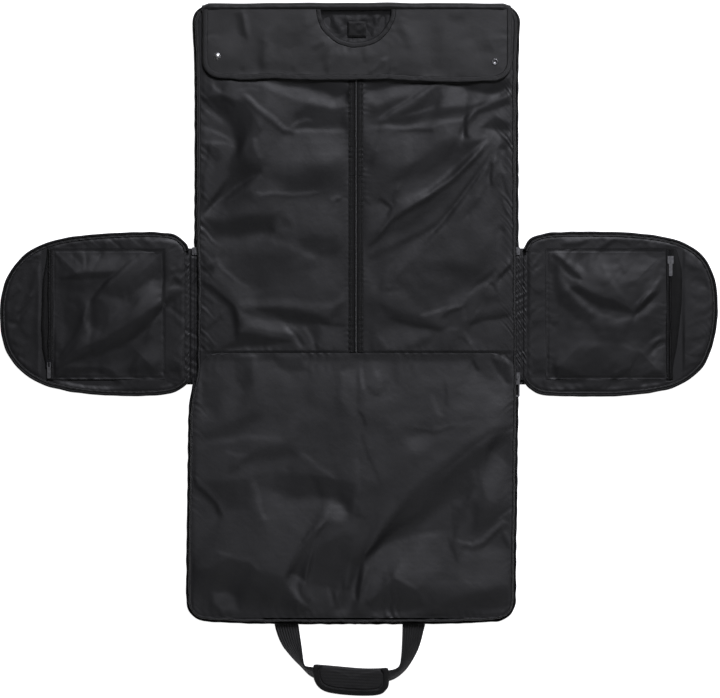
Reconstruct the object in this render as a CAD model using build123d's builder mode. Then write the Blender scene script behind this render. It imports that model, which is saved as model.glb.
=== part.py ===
from build123d import *
import os

# Convertible garment duffel, lying open and flat with its lining side up.
# X runs across the bag through the two D-shaped end panels, Y along it towards
# the hanger end, +Z up. The origin is the middle of the base panel's underside.
# Millimetres. One rigid panel per fold: lower roof, lower wall, base, upper wall,
# upper roof. Every layer stays under its fold axis, so the panels fold up freely.

# ---- driving dimensions ----
HALF_W = 275.0            # half width of the body
FOLD_1 = 140.0            # base to wall fold line, half the duffel's depth
FOLD_2 = 330.0            # wall to roof fold line
END_Y = 527.0             # end edge of each roof panel
SEAM = 0.3                # half gap left between two panels at a fold
CORNER_R = 26.0           # outer corner of each roof

Z_SHELL = 5.8             # top of the padded outer shell
Z_BOARD = 3.4             # underside of the base board
LINING_Z, LINING_T = 6.0, 1.0
CAVITY_TOP = 16.9         # garment compartment, from the lining to the covers
COVER_Z, COVER_T = 17.0, 0.9
FOLD_Z = 18.0             # height of every fold axis
LINING_HALF = 259.0
BORDER_IN, BORDER_OUT = 260.0, 268.0      # gathered edge wall beside the compartment
TAPE_OUT, TAPE_Z, TAPE_T = 276.8, 6.0, 2.0
COIL_X, COIL_W, COIL_H = 274.0, 4.8, 2.4

COVER_SPLIT_Y = -66.0     # hem of the lower cover, foot of the centre zip
ZIP_HALF = 12.0           # half width of the centre zip tape
COIL_C_W, COIL_C_H = 5.2, 1.4
COIL_SETBACK = 2.6        # coil ends kept clear of a fold

WING_ROOT = 284.4         # inner edge of each end panel
WING_HINGE = 284.0
WING_R = 140.0
WING_L_CX, WING_R_CX = -465.0, 472.0      # centres of the two dome ends
WING_CORNER = 34.0
PIPE_W = 6.0
WING_SHELL_T = 3.0
POCKET_Z, POCKET_T = 9.0, 1.0
POCKET_ZIP_L, POCKET_ZIP_R = -522.0, 535.0
POCKET_ZIP_LEN = 220.0

FLAP_W, FLAP_BOTTOM, FLAP_TOP = 262.0, 398.0, 520.0
FLAP_Z, FLAP_T = 24.0, 1.4
BIND_Z, BIND_T, BIND_W = 23.8, 2.2, 8.5
FLAP_R = 30.0
NOTCH_RX, NOTCH_RY = 62.0, 59.0           # half-moon left open for the hanger's hook

WEB_W, WEB_T = 38.0, 1.6
ANCHOR_X = 107.0
ANCHOR_LEN = 120.0
HANDLE_Y = 522.0          # bar-tack line the handle swings about

os.makedirs("parts", exist_ok=True)
made = {}


def keep(builder, name):
    """Label one finished piece and write it out."""
    builder.part.label = name
    made[name] = builder.part
    export_step(builder.part, f"parts/{name}.step")


# ---------------------------------------------------------------- base panel
with BuildPart() as base_shell:
    with BuildSketch(Plane.XY):
        Rectangle(2 * HALF_W, 2 * (FOLD_1 - SEAM))
    extrude(amount=Z_BOARD - 0.2)
keep(base_shell, "base_shell")

with BuildPart() as base_board:
    with BuildSketch(Plane.XY.offset(Z_BOARD)):
        RectangleRounded(524, 264, 12)
    extrude(amount=2.4)
keep(base_board, "base_board")

with BuildPart() as base_lining:
    with BuildSketch(Plane.XY.offset(LINING_Z)):
        Rectangle(2 * LINING_HALF, 2 * (FOLD_1 - SEAM))
    extrude(amount=LINING_T)
keep(base_lining, "base_lining")

UP_Y0, UP_Y1 = COVER_SPLIT_Y + 2, FOLD_1 - SEAM
COVER_IN = ZIP_HALF + 0.3
COVER_W = BORDER_OUT - COVER_IN
COVER_CX = (BORDER_OUT + COVER_IN) / 2

with BuildPart() as base_cover_left:
    with BuildSketch(Plane.XY.offset(COVER_Z)):
        with Locations((-COVER_CX, (UP_Y0 + UP_Y1) / 2)):
            Rectangle(COVER_W, UP_Y1 - UP_Y0)
    extrude(amount=COVER_T)
keep(base_cover_left, "base_cover_left")

with BuildPart() as base_cover_right:
    with BuildSketch(Plane.XY.offset(COVER_Z)):
        with Locations((COVER_CX, (UP_Y0 + UP_Y1) / 2)):
            Rectangle(COVER_W, UP_Y1 - UP_Y0)
    extrude(amount=COVER_T)
keep(base_cover_right, "base_cover_right")

with BuildPart() as base_cover_lower:
    with BuildSketch(Plane.XY.offset(COVER_Z)) as hem:
        with Locations((0, (COVER_SPLIT_Y - FOLD_1 + SEAM) / 2)):
            Rectangle(2 * BORDER_OUT, FOLD_1 - SEAM + COVER_SPLIT_Y)
        fillet(hem.vertices().group_by(Axis.Y)[-1], 34)
    extrude(amount=COVER_T)
keep(base_cover_lower, "base_cover_lower")

with BuildPart() as base_centre_zip:
    with BuildSketch(Plane.XY.offset(COVER_Z)):
        with Locations((0, (UP_Y0 + UP_Y1) / 2)):
            Rectangle(2 * ZIP_HALF, UP_Y1 - UP_Y0)
    extrude(amount=COVER_T)
    with BuildSketch(Plane.XY.offset(COVER_Z + COVER_T)):
        with Locations((0, (UP_Y0 + 4 + FOLD_1 - COIL_SETBACK) / 2)):
            Rectangle(COIL_C_W, FOLD_1 - COIL_SETBACK - UP_Y0 - 4)
    extrude(amount=COIL_C_H)
keep(base_centre_zip, "base_centre_zip")

# gathered borders of the base, the short zip runs at its four corners, and the
# two gusset strips that the end panels hang from
with BuildPart() as base_borders:
    with BuildSketch(Plane.XY.offset(TAPE_Z)):
        for s in (-1, 1):
            with Locations((s * (BORDER_IN + BORDER_OUT) / 2, 0)):
                Rectangle(BORDER_OUT - BORDER_IN, 2 * (FOLD_1 - SEAM))
    extrude(amount=CAVITY_TOP - TAPE_Z)
    with BuildSketch(Plane.XY.offset(TAPE_Z)):
        for s in (-1, 1):
            for t in (-1, 1):
                with Locations((s * (BORDER_OUT - 0.2 + TAPE_OUT) / 2, t * (97 + FOLD_1 - SEAM) / 2)):
                    Rectangle(TAPE_OUT - BORDER_OUT + 0.2, FOLD_1 - SEAM - 97)
    extrude(amount=TAPE_T)
    with BuildSketch(Plane.XY.offset(TAPE_Z + TAPE_T)):
        for s in (-1, 1):
            for t in (-1, 1):
                with Locations((s * COIL_X, t * (97 + FOLD_1 - SEAM) / 2)):
                    Rectangle(COIL_W, FOLD_1 - SEAM - 97)
    extrude(amount=COIL_H)
    with BuildSketch(Plane.XY):
        for s in (-1, 1):
            with Locations((s * 279.6, 0)):
                Rectangle(7.6, 188)
    extrude(amount=8)
keep(base_borders, "base_borders")


# ---------------------------------------------------------------- upper wall
WALL_Y0, WALL_Y1 = FOLD_1 + SEAM, FOLD_2 - SEAM
WALL_CY, WALL_L = (FOLD_1 + FOLD_2) / 2, FOLD_2 - FOLD_1 - 2 * SEAM

with BuildPart() as upper_wall_shell:
    with BuildSketch(Plane.XY):
        with Locations((0, WALL_CY)):
            Rectangle(2 * HALF_W, WALL_L)
    extrude(amount=Z_SHELL)
keep(upper_wall_shell, "upper_wall_shell")

with BuildPart() as upper_wall_lining:
    with BuildSketch(Plane.XY.offset(LINING_Z)):
        with Locations((0, WALL_CY)):
            Rectangle(2 * LINING_HALF, WALL_L)
    extrude(amount=LINING_T)
keep(upper_wall_lining, "upper_wall_lining")

with BuildPart() as upper_wall_cover_left:
    with BuildSketch(Plane.XY.offset(COVER_Z)):
        with Locations((-COVER_CX, WALL_CY)):
            Rectangle(COVER_W, WALL_L)
    extrude(amount=COVER_T)
keep(upper_wall_cover_left, "upper_wall_cover_left")

with BuildPart() as upper_wall_cover_right:
    with BuildSketch(Plane.XY.offset(COVER_Z)):
        with Locations((COVER_CX, WALL_CY)):
            Rectangle(COVER_W, WALL_L)
    extrude(amount=COVER_T)
keep(upper_wall_cover_right, "upper_wall_cover_right")

with BuildPart() as upper_wall_centre_zip:
    with BuildSketch(Plane.XY.offset(COVER_Z)):
        with Locations((0, WALL_CY)):
            Rectangle(2 * ZIP_HALF, WALL_L)
    extrude(amount=COVER_T)
    with BuildSketch(Plane.XY.offset(COVER_Z + COVER_T)):
        with Locations((0, WALL_CY)):
            Rectangle(COIL_C_W, FOLD_2 - FOLD_1 - 2 * COIL_SETBACK)
    extrude(amount=COIL_C_H)
keep(upper_wall_centre_zip, "upper_wall_centre_zip")

with BuildPart() as upper_wall_side_zips:
    with BuildSketch(Plane.XY.offset(TAPE_Z)):
        for s in (-1, 1):
            with Locations((s * (BORDER_IN + BORDER_OUT) / 2, WALL_CY)):
                Rectangle(BORDER_OUT - BORDER_IN, WALL_L)
    extrude(amount=CAVITY_TOP - TAPE_Z)
    with BuildSketch(Plane.XY.offset(TAPE_Z)):
        for s in (-1, 1):
            with Locations((s * (BORDER_OUT - 0.2 + TAPE_OUT) / 2, WALL_CY)):
                Rectangle(TAPE_OUT - BORDER_OUT + 0.2, WALL_L)
    extrude(amount=TAPE_T)
    with BuildSketch(Plane.XY.offset(TAPE_Z + TAPE_T)):
        for s in (-1, 1):
            with Locations((s * COIL_X, WALL_CY)):
                Rectangle(COIL_W, WALL_L)
    extrude(amount=COIL_H)
keep(upper_wall_side_zips, "upper_wall_side_zips")

# ---------------------------------------------------------------- upper roof
ROOF_Y0 = FOLD_2 + SEAM
ROOF_CY, ROOF_L = (ROOF_Y0 + END_Y) / 2, END_Y - ROOF_Y0

with BuildPart() as upper_roof_shell:
    with BuildSketch(Plane.XY.offset(3.6)) as outline:
        with Locations((0, ROOF_CY)):
            Rectangle(2 * HALF_W, ROOF_L)
        fillet(outline.vertices().group_by(Axis.Y)[-1], CORNER_R)
    extrude(amount=Z_SHELL - 3.6)
keep(upper_roof_shell, "upper_roof_shell")

with BuildPart() as upper_roof_lining:
    with BuildSketch(Plane.XY.offset(LINING_Z)):
        with Locations((0, (ROOF_Y0 + 518) / 2)):
            Rectangle(2 * LINING_HALF, 518 - ROOF_Y0)
    extrude(amount=LINING_T)
keep(upper_roof_lining, "upper_roof_lining")

with BuildPart() as upper_roof_cover_left:
    with BuildSketch(Plane.XY.offset(COVER_Z)):
        with Locations((-COVER_CX, (ROOF_Y0 + 517) / 2)):
            Rectangle(COVER_W, 517 - ROOF_Y0)
    extrude(amount=COVER_T)
keep(upper_roof_cover_left, "upper_roof_cover_left")

with BuildPart() as upper_roof_cover_right:
    with BuildSketch(Plane.XY.offset(COVER_Z)):
        with Locations((COVER_CX, (ROOF_Y0 + 517) / 2)):
            Rectangle(COVER_W, 517 - ROOF_Y0)
    extrude(amount=COVER_T)
keep(upper_roof_cover_right, "upper_roof_cover_right")

with BuildPart() as upper_roof_centre_zip:
    with BuildSketch(Plane.XY.offset(COVER_Z)):
        with Locations((0, (ROOF_Y0 + 456) / 2)):
            Rectangle(2 * ZIP_HALF, 456 - ROOF_Y0)
    extrude(amount=COVER_T)
    with BuildSketch(Plane.XY.offset(COVER_Z + COVER_T)):
        with Locations((0, (FOLD_2 + COIL_SETBACK + 450) / 2)):
            Rectangle(COIL_C_W, 450 - FOLD_2 - COIL_SETBACK)
    extrude(amount=COIL_C_H)
keep(upper_roof_centre_zip, "upper_roof_centre_zip")

# one zip runs up both sides of the roof and across its end
SIDE_END = 500.0
with BuildPart() as upper_roof_edge_zip:
    with BuildSketch(Plane.XY.offset(TAPE_Z)):
        for s in (-1, 1):
            with Locations((s * (BORDER_IN + BORDER_OUT) / 2, (ROOF_Y0 + SIDE_END) / 2)):
                Rectangle(BORDER_OUT - BORDER_IN, SIDE_END - ROOF_Y0)
    extrude(amount=CAVITY_TOP - TAPE_Z)
    with BuildSketch(Plane.XY.offset(TAPE_Z)):
        for s in (-1, 1):
            with Locations((s * (BORDER_OUT - 0.2 + TAPE_OUT) / 2, (ROOF_Y0 + SIDE_END) / 2)):
                Rectangle(TAPE_OUT - BORDER_OUT + 0.2, SIDE_END - ROOF_Y0)
        with Locations((0, 522.8)):
            Rectangle(2 * 250, 8.4)
    extrude(amount=TAPE_T)
    with BuildSketch(Plane.XY.offset(TAPE_Z + TAPE_T)):
        for s in (-1, 1):
            with Locations((s * COIL_X, (ROOF_Y0 + SIDE_END) / 2)):
                Rectangle(COIL_W, SIDE_END - ROOF_Y0)
        with Locations((0, 523.0)):
            Rectangle(2 * 250, COIL_W)
    extrude(amount=COIL_H)
keep(upper_roof_edge_zip, "upper_roof_edge_zip")

with BuildPart() as snap_studs:
    with BuildSketch(Plane.XY.offset(COVER_Z + COVER_T)):
        with Locations((-236, 437), (236, 428)):
            Circle(4.6)
    extrude(amount=0.8)
    with BuildSketch(Plane.XY.offset(COVER_Z + COVER_T + 0.8)):
        with Locations((-236, 437), (236, 428)):
            Circle(1.6)
    extrude(amount=1.2)
keep(snap_studs, "snap_studs")

with BuildPart() as hanger_tab:
    with BuildSketch(Plane.XY.offset(COVER_Z + COVER_T)):
        with Locations((1.5, 484)):
            RectangleRounded(32, 26, 3)
    extrude(amount=2.0)
keep(hanger_tab, "hanger_tab")

with BuildPart() as upper_handle_anchors:
    with BuildSketch(Plane.XY.offset(1.8)):
        for s in (-1, 1):
            with Locations((s * ANCHOR_X, 518 - ANCHOR_LEN / 2)):
                Rectangle(WEB_W, ANCHOR_LEN)
    extrude(amount=WEB_T)
keep(upper_handle_anchors, "upper_handle_anchors")

# ---------------------------------------------------------------- lower wall
with BuildPart() as lower_wall_shell:
    with BuildSketch(Plane.XY):
        with Locations((0, -WALL_CY)):
            Rectangle(2 * HALF_W, WALL_L)
    extrude(amount=Z_SHELL)
keep(lower_wall_shell, "lower_wall_shell")

with BuildPart() as lower_wall_lining:
    with BuildSketch(Plane.XY.offset(LINING_Z)):
        with Locations((0, -WALL_CY)):
            Rectangle(2 * LINING_HALF, WALL_L)
    extrude(amount=LINING_T)
keep(lower_wall_lining, "lower_wall_lining")

with BuildPart() as lower_wall_cover:
    with BuildSketch(Plane.XY.offset(COVER_Z)):
        with Locations((0, -WALL_CY)):
            Rectangle(2 * BORDER_OUT, WALL_L)
    extrude(amount=COVER_T)
keep(lower_wall_cover, "lower_wall_cover")

with BuildPart() as lower_wall_side_zips:
    with BuildSketch(Plane.XY.offset(TAPE_Z)):
        for s in (-1, 1):
            with Locations((s * (BORDER_IN + BORDER_OUT) / 2, -WALL_CY)):
                Rectangle(BORDER_OUT - BORDER_IN, WALL_L)
    extrude(amount=CAVITY_TOP - TAPE_Z)
    with BuildSketch(Plane.XY.offset(TAPE_Z)):
        for s in (-1, 1):
            with Locations((s * (BORDER_OUT - 0.2 + TAPE_OUT) / 2, -WALL_CY)):
                Rectangle(TAPE_OUT - BORDER_OUT + 0.2, WALL_L)
    extrude(amount=TAPE_T)
    with BuildSketch(Plane.XY.offset(TAPE_Z + TAPE_T)):
        for s in (-1, 1):
            with Locations((s * COIL_X, -WALL_CY)):
                Rectangle(COIL_W, WALL_L)
    extrude(amount=COIL_H)
keep(lower_wall_side_zips, "lower_wall_side_zips")

# ---------------------------------------------------------------- lower roof
with BuildPart() as lower_roof_shell:
    with BuildSketch(Plane.XY.offset(1.8)) as outline:
        with Locations((0, -ROOF_CY)):
            Rectangle(2 * HALF_W, ROOF_L)
        fillet(outline.vertices().group_by(Axis.Y)[0], CORNER_R)
    extrude(amount=Z_SHELL - 1.8)
keep(lower_roof_shell, "lower_roof_shell")

with BuildPart() as lower_roof_lining:
    with BuildSketch(Plane.XY.offset(LINING_Z)):
        with Locations((0, -(ROOF_Y0 + 518) / 2)):
            Rectangle(2 * LINING_HALF, 518 - ROOF_Y0)
    extrude(amount=LINING_T)
keep(lower_roof_lining, "lower_roof_lining")

with BuildPart() as lower_roof_cover:
    with BuildSketch(Plane.XY.offset(COVER_Z)) as outline:
        with Locations((0, -(ROOF_Y0 + 514) / 2)):
            Rectangle(2 * BORDER_OUT, 514 - ROOF_Y0)
        fillet(outline.vertices().group_by(Axis.Y)[0], 22)
    extrude(amount=COVER_T)
keep(lower_roof_cover, "lower_roof_cover")

with BuildPart() as lower_roof_edge_zip:
    with BuildSketch(Plane.XY.offset(TAPE_Z)):
        for s in (-1, 1):
            with Locations((s * (BORDER_IN + BORDER_OUT) / 2, -(ROOF_Y0 + SIDE_END) / 2)):
                Rectangle(BORDER_OUT - BORDER_IN, SIDE_END - ROOF_Y0)
    extrude(amount=CAVITY_TOP - TAPE_Z)
    with BuildSketch(Plane.XY.offset(TAPE_Z)):
        for s in (-1, 1):
            with Locations((s * (BORDER_OUT - 0.2 + TAPE_OUT) / 2, -(ROOF_Y0 + SIDE_END) / 2)):
                Rectangle(TAPE_OUT - BORDER_OUT + 0.2, SIDE_END - ROOF_Y0)
        with Locations((0, -522.8)):
            Rectangle(2 * 250, 8.4)
    extrude(amount=TAPE_T)
    with BuildSketch(Plane.XY.offset(TAPE_Z + TAPE_T)):
        for s in (-1, 1):
            with Locations((s * COIL_X, -(ROOF_Y0 + SIDE_END) / 2)):
                Rectangle(COIL_W, SIDE_END - ROOF_Y0)
        with Locations((0, -523.0)):
            Rectangle(2 * 250, COIL_W)
    extrude(amount=COIL_H)
keep(lower_roof_edge_zip, "lower_roof_edge_zip")

with BuildPart() as lower_handle_anchors:
    with BuildSketch(Plane.XY):
        for s in (-1, 1):
            with Locations((s * ANCHOR_X, -(518 - ANCHOR_LEN / 2))):
                Rectangle(WEB_W, ANCHOR_LEN)
    extrude(amount=WEB_T)
keep(lower_handle_anchors, "lower_handle_anchors")

# ---------------------------------------------------------------- end panels
def dome(side, centre, inset):
    """Outline of an end panel: square inner edge, half-round outer end."""
    root = side * (WING_ROOT + inset)
    r = WING_R - inset
    c = max(WING_CORNER - inset, 4)
    with BuildSketch(mode=Mode.PRIVATE) as sk:
        with Locations(((root + centre) / 2, 0)):
            Rectangle(abs(centre - root), 2 * r)
        inner = sk.vertices().sort_by(Axis.X, reverse=(side > 0))[-2:]
        fillet(inner, c)
        with Locations((centre, 0)):
            Circle(r)
    return sk.sketch


wing_dims = (("left", -1, WING_L_CX, POCKET_ZIP_L), ("right", 1, WING_R_CX, POCKET_ZIP_R))
for word, side, centre, zip_x in wing_dims:
    full, inner, panel = dome(side, centre, 0), dome(side, centre, PIPE_W), dome(side, centre, PIPE_W + 0.3)

    with BuildPart() as wing_shell:
        with BuildSketch(Plane.XY):
            add(panel)
        extrude(amount=WING_SHELL_T)
    keep(wing_shell, f"wing_{word}_shell")

    with BuildPart() as wing_piping:
        with BuildSketch(Plane.XY):
            add(full)
            add(inner, mode=Mode.SUBTRACT)
        extrude(amount=POCKET_Z + POCKET_T + 0.8)
    keep(wing_piping, f"wing_{word}_piping")

    with BuildPart() as wing_pocket:
        with BuildSketch(Plane.XY.offset(POCKET_Z)):
            add(panel)
        extrude(amount=POCKET_T)
    keep(wing_pocket, f"wing_{word}_pocket")

    with BuildPart() as wing_pocket_zip:
        with BuildSketch(Plane.XY.offset(POCKET_Z + POCKET_T)):
            with Locations((zip_x, 0)):
                Rectangle(20, POCKET_ZIP_LEN)
        extrude(amount=0.9)
        with BuildSketch(Plane.XY.offset(POCKET_Z + POCKET_T + 0.9)):
            with Locations((zip_x, 0)):
                Rectangle(4.8, POCKET_ZIP_LEN - 6)
        extrude(amount=1.6)
    keep(wing_pocket_zip, f"wing_{word}_pocket_zip")

# ---------------------------------------------------------------- fold-over flap
with BuildSketch(mode=Mode.PRIVATE) as flap_outline:
    with Locations((0, (FLAP_BOTTOM + FLAP_TOP) / 2)):
        Rectangle(2 * FLAP_W, FLAP_TOP - FLAP_BOTTOM)
    fillet(flap_outline.vertices().group_by(Axis.Y)[0], FLAP_R)
    with Locations((0, FLAP_TOP)):
        Ellipse(NOTCH_RX, NOTCH_RY, mode=Mode.SUBTRACT)

with BuildSketch(mode=Mode.PRIVATE) as flap_field:
    with Locations((0, (FLAP_BOTTOM + FLAP_TOP) / 2)):
        Rectangle(2 * (FLAP_W - BIND_W), FLAP_TOP - FLAP_BOTTOM - 2 * BIND_W)
    fillet(flap_field.vertices().group_by(Axis.Y)[0], FLAP_R - BIND_W)
    with Locations((0, FLAP_TOP)):
        Ellipse(NOTCH_RX + BIND_W, NOTCH_RY + BIND_W, mode=Mode.SUBTRACT)

with BuildSketch(mode=Mode.PRIVATE) as flap_inner:
    with Locations((0, (FLAP_BOTTOM + FLAP_TOP) / 2)):
        Rectangle(2 * (FLAP_W - BIND_W - 0.2), FLAP_TOP - FLAP_BOTTOM - 2 * BIND_W - 0.4)
    fillet(flap_inner.vertices().group_by(Axis.Y)[0], FLAP_R - BIND_W - 0.2)
    with Locations((0, FLAP_TOP)):
        Ellipse(NOTCH_RX + BIND_W + 0.2, NOTCH_RY + BIND_W + 0.2, mode=Mode.SUBTRACT)
    with Locations((-236, 437), (236, 428)):
        Circle(2.3, mode=Mode.SUBTRACT)

with BuildPart() as top_flap_panel:
    with BuildSketch(Plane.XY.offset(FLAP_Z)):
        add(flap_inner.sketch)
    extrude(amount=FLAP_T)
keep(top_flap_panel, "top_flap_panel")

with BuildPart() as top_flap_binding:
    with BuildSketch(Plane.XY.offset(BIND_Z)):
        add(flap_outline.sketch)
        add(flap_field.sketch, mode=Mode.SUBTRACT)
    extrude(amount=BIND_T)
keep(top_flap_binding, "top_flap_binding")

with BuildPart() as snap_caps:
    with BuildSketch(Plane.XY.offset(FLAP_Z + FLAP_T + 0.05)):
        with Locations((-236, 437), (236, 428)):
            Circle(5.6)
    extrude(amount=1.5)
    with BuildSketch(Plane.XY.offset(FLAP_Z - 0.4)):
        with Locations((-236, 437), (236, 428)):
            Circle(2.0)
    extrude(amount=FLAP_T + 0.6)
    with BuildSketch(Plane.XY.offset(FLAP_Z - 2.1)):
        with Locations((-236, 437), (236, 428)):
            Circle(4.8)
            Circle(2.2, mode=Mode.SUBTRACT)
    extrude(amount=1.0)
    with BuildSketch(Plane.XY.offset(FLAP_Z - 1.1)):
        with Locations((-236, 437), (236, 428)):
            Circle(4.8)
    extrude(amount=0.8)
keep(snap_caps, "snap_caps")

# ---------------------------------------------------------------- zip sliders
# name, x, y, top of the tape, coil width, coil height, which way the pull lies,
# pull length, pull width; "X" marks a coil that runs across the bag
sliders = (
    ("centre_zip", 0.0, 432.0, COVER_Z + COVER_T, COIL_C_W, COIL_C_H, (0, -1), 22.0, 7.0),
    ("wing_left_pocket_zip", POCKET_ZIP_L, -84.0, POCKET_Z + POCKET_T + 0.9, 4.8, 1.6, (0, -1), 22.0, 6.0),
    ("wing_right_pocket_zip", POCKET_ZIP_R, 92.0, POCKET_Z + POCKET_T + 0.9, 4.8, 1.6, (0, -1), 24.0, 6.0),
    ("side_zip_upper_left", -COIL_X, 107.0, TAPE_Z + TAPE_T, COIL_W, COIL_H, None, 0, 0),
    ("side_zip_upper_right", COIL_X, 107.0, TAPE_Z + TAPE_T, COIL_W, COIL_H, None, 0, 0),
    ("side_zip_lower_left", -COIL_X, -110.0, TAPE_Z + TAPE_T, COIL_W, COIL_H, (0, -1), 28.0, 8.0),
    ("side_zip_lower_right", COIL_X, -106.0, TAPE_Z + TAPE_T, COIL_W, COIL_H, (0, -1), 31.5, 9.0),
    ("end_zip", 240.0, 523.0, TAPE_Z + TAPE_T, COIL_W, COIL_H, "X", 0, 0),
)
SL_LEN, SL_WALL, SL_GAP = 13.0, 2.2, 0.4
LOOP_H, LOOP_BAR, PULL_T = 2.2, 0.6, 0.8
for name, x, y, tape_top, cw, ch, lie, pull_len, pull_w in sliders:
    across = lie == "X"
    half = cw / 2 + SL_GAP
    out = half + SL_WALL
    roof = tape_top + ch + 0.3
    crown = roof + 1.0
    with BuildPart() as slider:
        # two cheeks beside the coil, a plate over it and a low crown loop
        with BuildSketch(Plane.XY.offset(tape_top + 0.3)):
            for s in (-1, 1):
                off = s * (half + out) / 2
                with Locations((x, y + off) if across else (x + off, y)):
                    Rectangle(SL_LEN if across else SL_WALL, SL_WALL if across else SL_LEN)
        extrude(amount=roof - tape_top - 0.3)
        with BuildSketch(Plane.XY.offset(roof)):
            with Locations((x, y)):
                RectangleRounded(SL_LEN if across else 2 * out, 2 * out if across else SL_LEN, 2.0)
        extrude(amount=1.0)
        with BuildSketch(Plane.XY.offset(crown)):
            for s in (-1, 1):
                with Locations((x + s * 3.6, y) if across else (x, y + s * 3.6)):
                    Rectangle(1.2 if across else 2.0, 2.0 if across else 1.2)
        extrude(amount=LOOP_H)
        with BuildSketch(Plane.XY.offset(crown + LOOP_H)):
            with Locations((x, y)):
                Rectangle(8.4 if across else 2.0, 2.0 if across else 8.4)
        extrude(amount=LOOP_BAR)
    keep(slider, f"{name}_slider")
    if isinstance(lie, tuple):
        far = y - 3.4 - pull_len
        with BuildPart() as pull:
            # flat pull with an eye that the crown loop passes through
            with BuildSketch(Plane.XY.offset(crown + 0.35)):
                with Locations((x, (y + 2.15 + far) / 2)):
                    RectangleRounded(pull_w, y + 2.15 - far, 1.5)
                with Locations((x, y + 1.05 - 3.6)):
                    Rectangle(2.8, 7.2, mode=Mode.SUBTRACT)
            extrude(amount=PULL_T)
            if pull_len > 30:
                # long open loop: a window through the middle of the pull
                with BuildSketch(Plane.XY.offset(crown + 0.35)):
                    with Locations((x, far + 12)):
                        RectangleRounded(pull_w - 4.4, 18, 1.2)
                extrude(amount=PULL_T, mode=Mode.SUBTRACT)
        keep(pull, f"{name}_pull")

# ---------------------------------------------------------------- handles
with BuildPart() as lower_handle:
    with BuildSketch(Plane.XY):
        with BuildLine():
            Polyline(
                (-137, -HANDLE_Y - 0.4), (-137, -545), (-126, -574), (-104, -602), (-84, -626), (-70, -640),
                (64, -640), (78, -626), (92, -604), (104, -572), (114, -542), (114, -HANDLE_Y - 0.4),
                (76, -HANDLE_Y - 0.4), (76, -560), (74, -584), (60, -602),
                (-66, -602), (-86, -588), (-94, -562), (-99, -545), (-99, -HANDLE_Y - 0.4),
                (-137, -HANDLE_Y - 0.4))
        make_face()
    extrude(amount=WEB_T)
keep(lower_handle, "lower_handle_webbing")

GRIP_TILT = -3.0
grip_plane = Plane(origin=(-2.5, -621.5, 0), z_dir=(0, 0, 1)).rotated((0, 0, GRIP_TILT))
with BuildPart() as grip_pad:
    with BuildSketch(grip_plane.offset(1.8)):
        RectangleRounded(146, 54, 8)
    extrude(amount=6.0)
keep(grip_pad, "grip_pad")

with BuildPart() as grip_flap:
    with BuildSketch(grip_plane.offset(8.1)):
        RectangleRounded(146, 54, 8)
    extrude(amount=5.4)
keep(grip_flap, "grip_flap")

with BuildPart() as upper_handle:
    with BuildSketch(Plane.XY):
        with BuildLine():
            Polyline(
                (-126, HANDLE_Y - 0.4), (-126, 500), (-116, 466), (-98, 436), (-72, 404), (72, 404), (98, 436),
                (116, 466), (126, 500), (126, HANDLE_Y - 0.4), (88, HANDLE_Y - 0.4), (88, 480),
                (80, 456), (64, 442), (-64, 442), (-80, 456), (-88, 480), (-88, HANDLE_Y - 0.4),
                (-126, HANDLE_Y - 0.4))
        make_face()
    extrude(amount=WEB_T)
keep(upper_handle, "upper_handle_webbing")

print(len(made), "pieces")
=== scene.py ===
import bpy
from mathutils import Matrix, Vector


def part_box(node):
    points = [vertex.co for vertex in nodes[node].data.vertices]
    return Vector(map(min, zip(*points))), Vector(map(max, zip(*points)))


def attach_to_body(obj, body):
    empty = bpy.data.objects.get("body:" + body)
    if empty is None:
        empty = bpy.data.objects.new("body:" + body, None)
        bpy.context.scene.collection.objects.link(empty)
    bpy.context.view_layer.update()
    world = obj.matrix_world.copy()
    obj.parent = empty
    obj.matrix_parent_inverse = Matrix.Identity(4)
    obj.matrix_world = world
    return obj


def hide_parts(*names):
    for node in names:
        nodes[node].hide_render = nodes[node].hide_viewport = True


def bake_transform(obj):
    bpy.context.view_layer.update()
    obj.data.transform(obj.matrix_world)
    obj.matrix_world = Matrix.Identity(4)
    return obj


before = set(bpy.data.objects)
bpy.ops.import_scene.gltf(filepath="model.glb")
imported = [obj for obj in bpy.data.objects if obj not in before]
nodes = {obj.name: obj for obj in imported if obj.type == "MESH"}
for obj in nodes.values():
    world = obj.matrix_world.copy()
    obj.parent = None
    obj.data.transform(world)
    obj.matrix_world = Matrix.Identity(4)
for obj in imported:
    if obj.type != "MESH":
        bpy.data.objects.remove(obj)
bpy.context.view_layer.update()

import math
import bpy
import numpy as np
from mathutils import Vector, Matrix

MM = 0.001


def mm(v):
    return [c * 1000.0 for c in v]


def span(name):
    lo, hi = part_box(name)
    return mm(lo), mm(hi)


# ------------------------------------------------------------------ the frame's own numbers, mm
(_, wall_hi) = span("upper_wall_shell")
F1 = 140.0                                  # fold lines
F2 = 330.0
MID = (F1 + F2) / 2                         # cloth pieces are cut here, half way up a wall
(roof_lo, roof_hi) = span("upper_roof_shell")
END = roof_hi[1]
(cov_lo, cov_hi) = span("lower_wall_cover")
COVER_Z = cov_hi[2]
COVER_HALF = cov_hi[0]
HEM_Y = span("base_cover_lower")[1][1]
(flap_lo, flap_hi) = span("top_flap_binding")
FLAP_Z = flap_hi[2]
FLAP_HALF, FLAP_B, FLAP_T = flap_hi[0], flap_lo[1], flap_hi[1]


# ------------------------------------------------------------------ small numeric helpers
def smooth(t):
    t = np.clip(t, 0, 1)
    return t * t * (3 - 2 * t)


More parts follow.
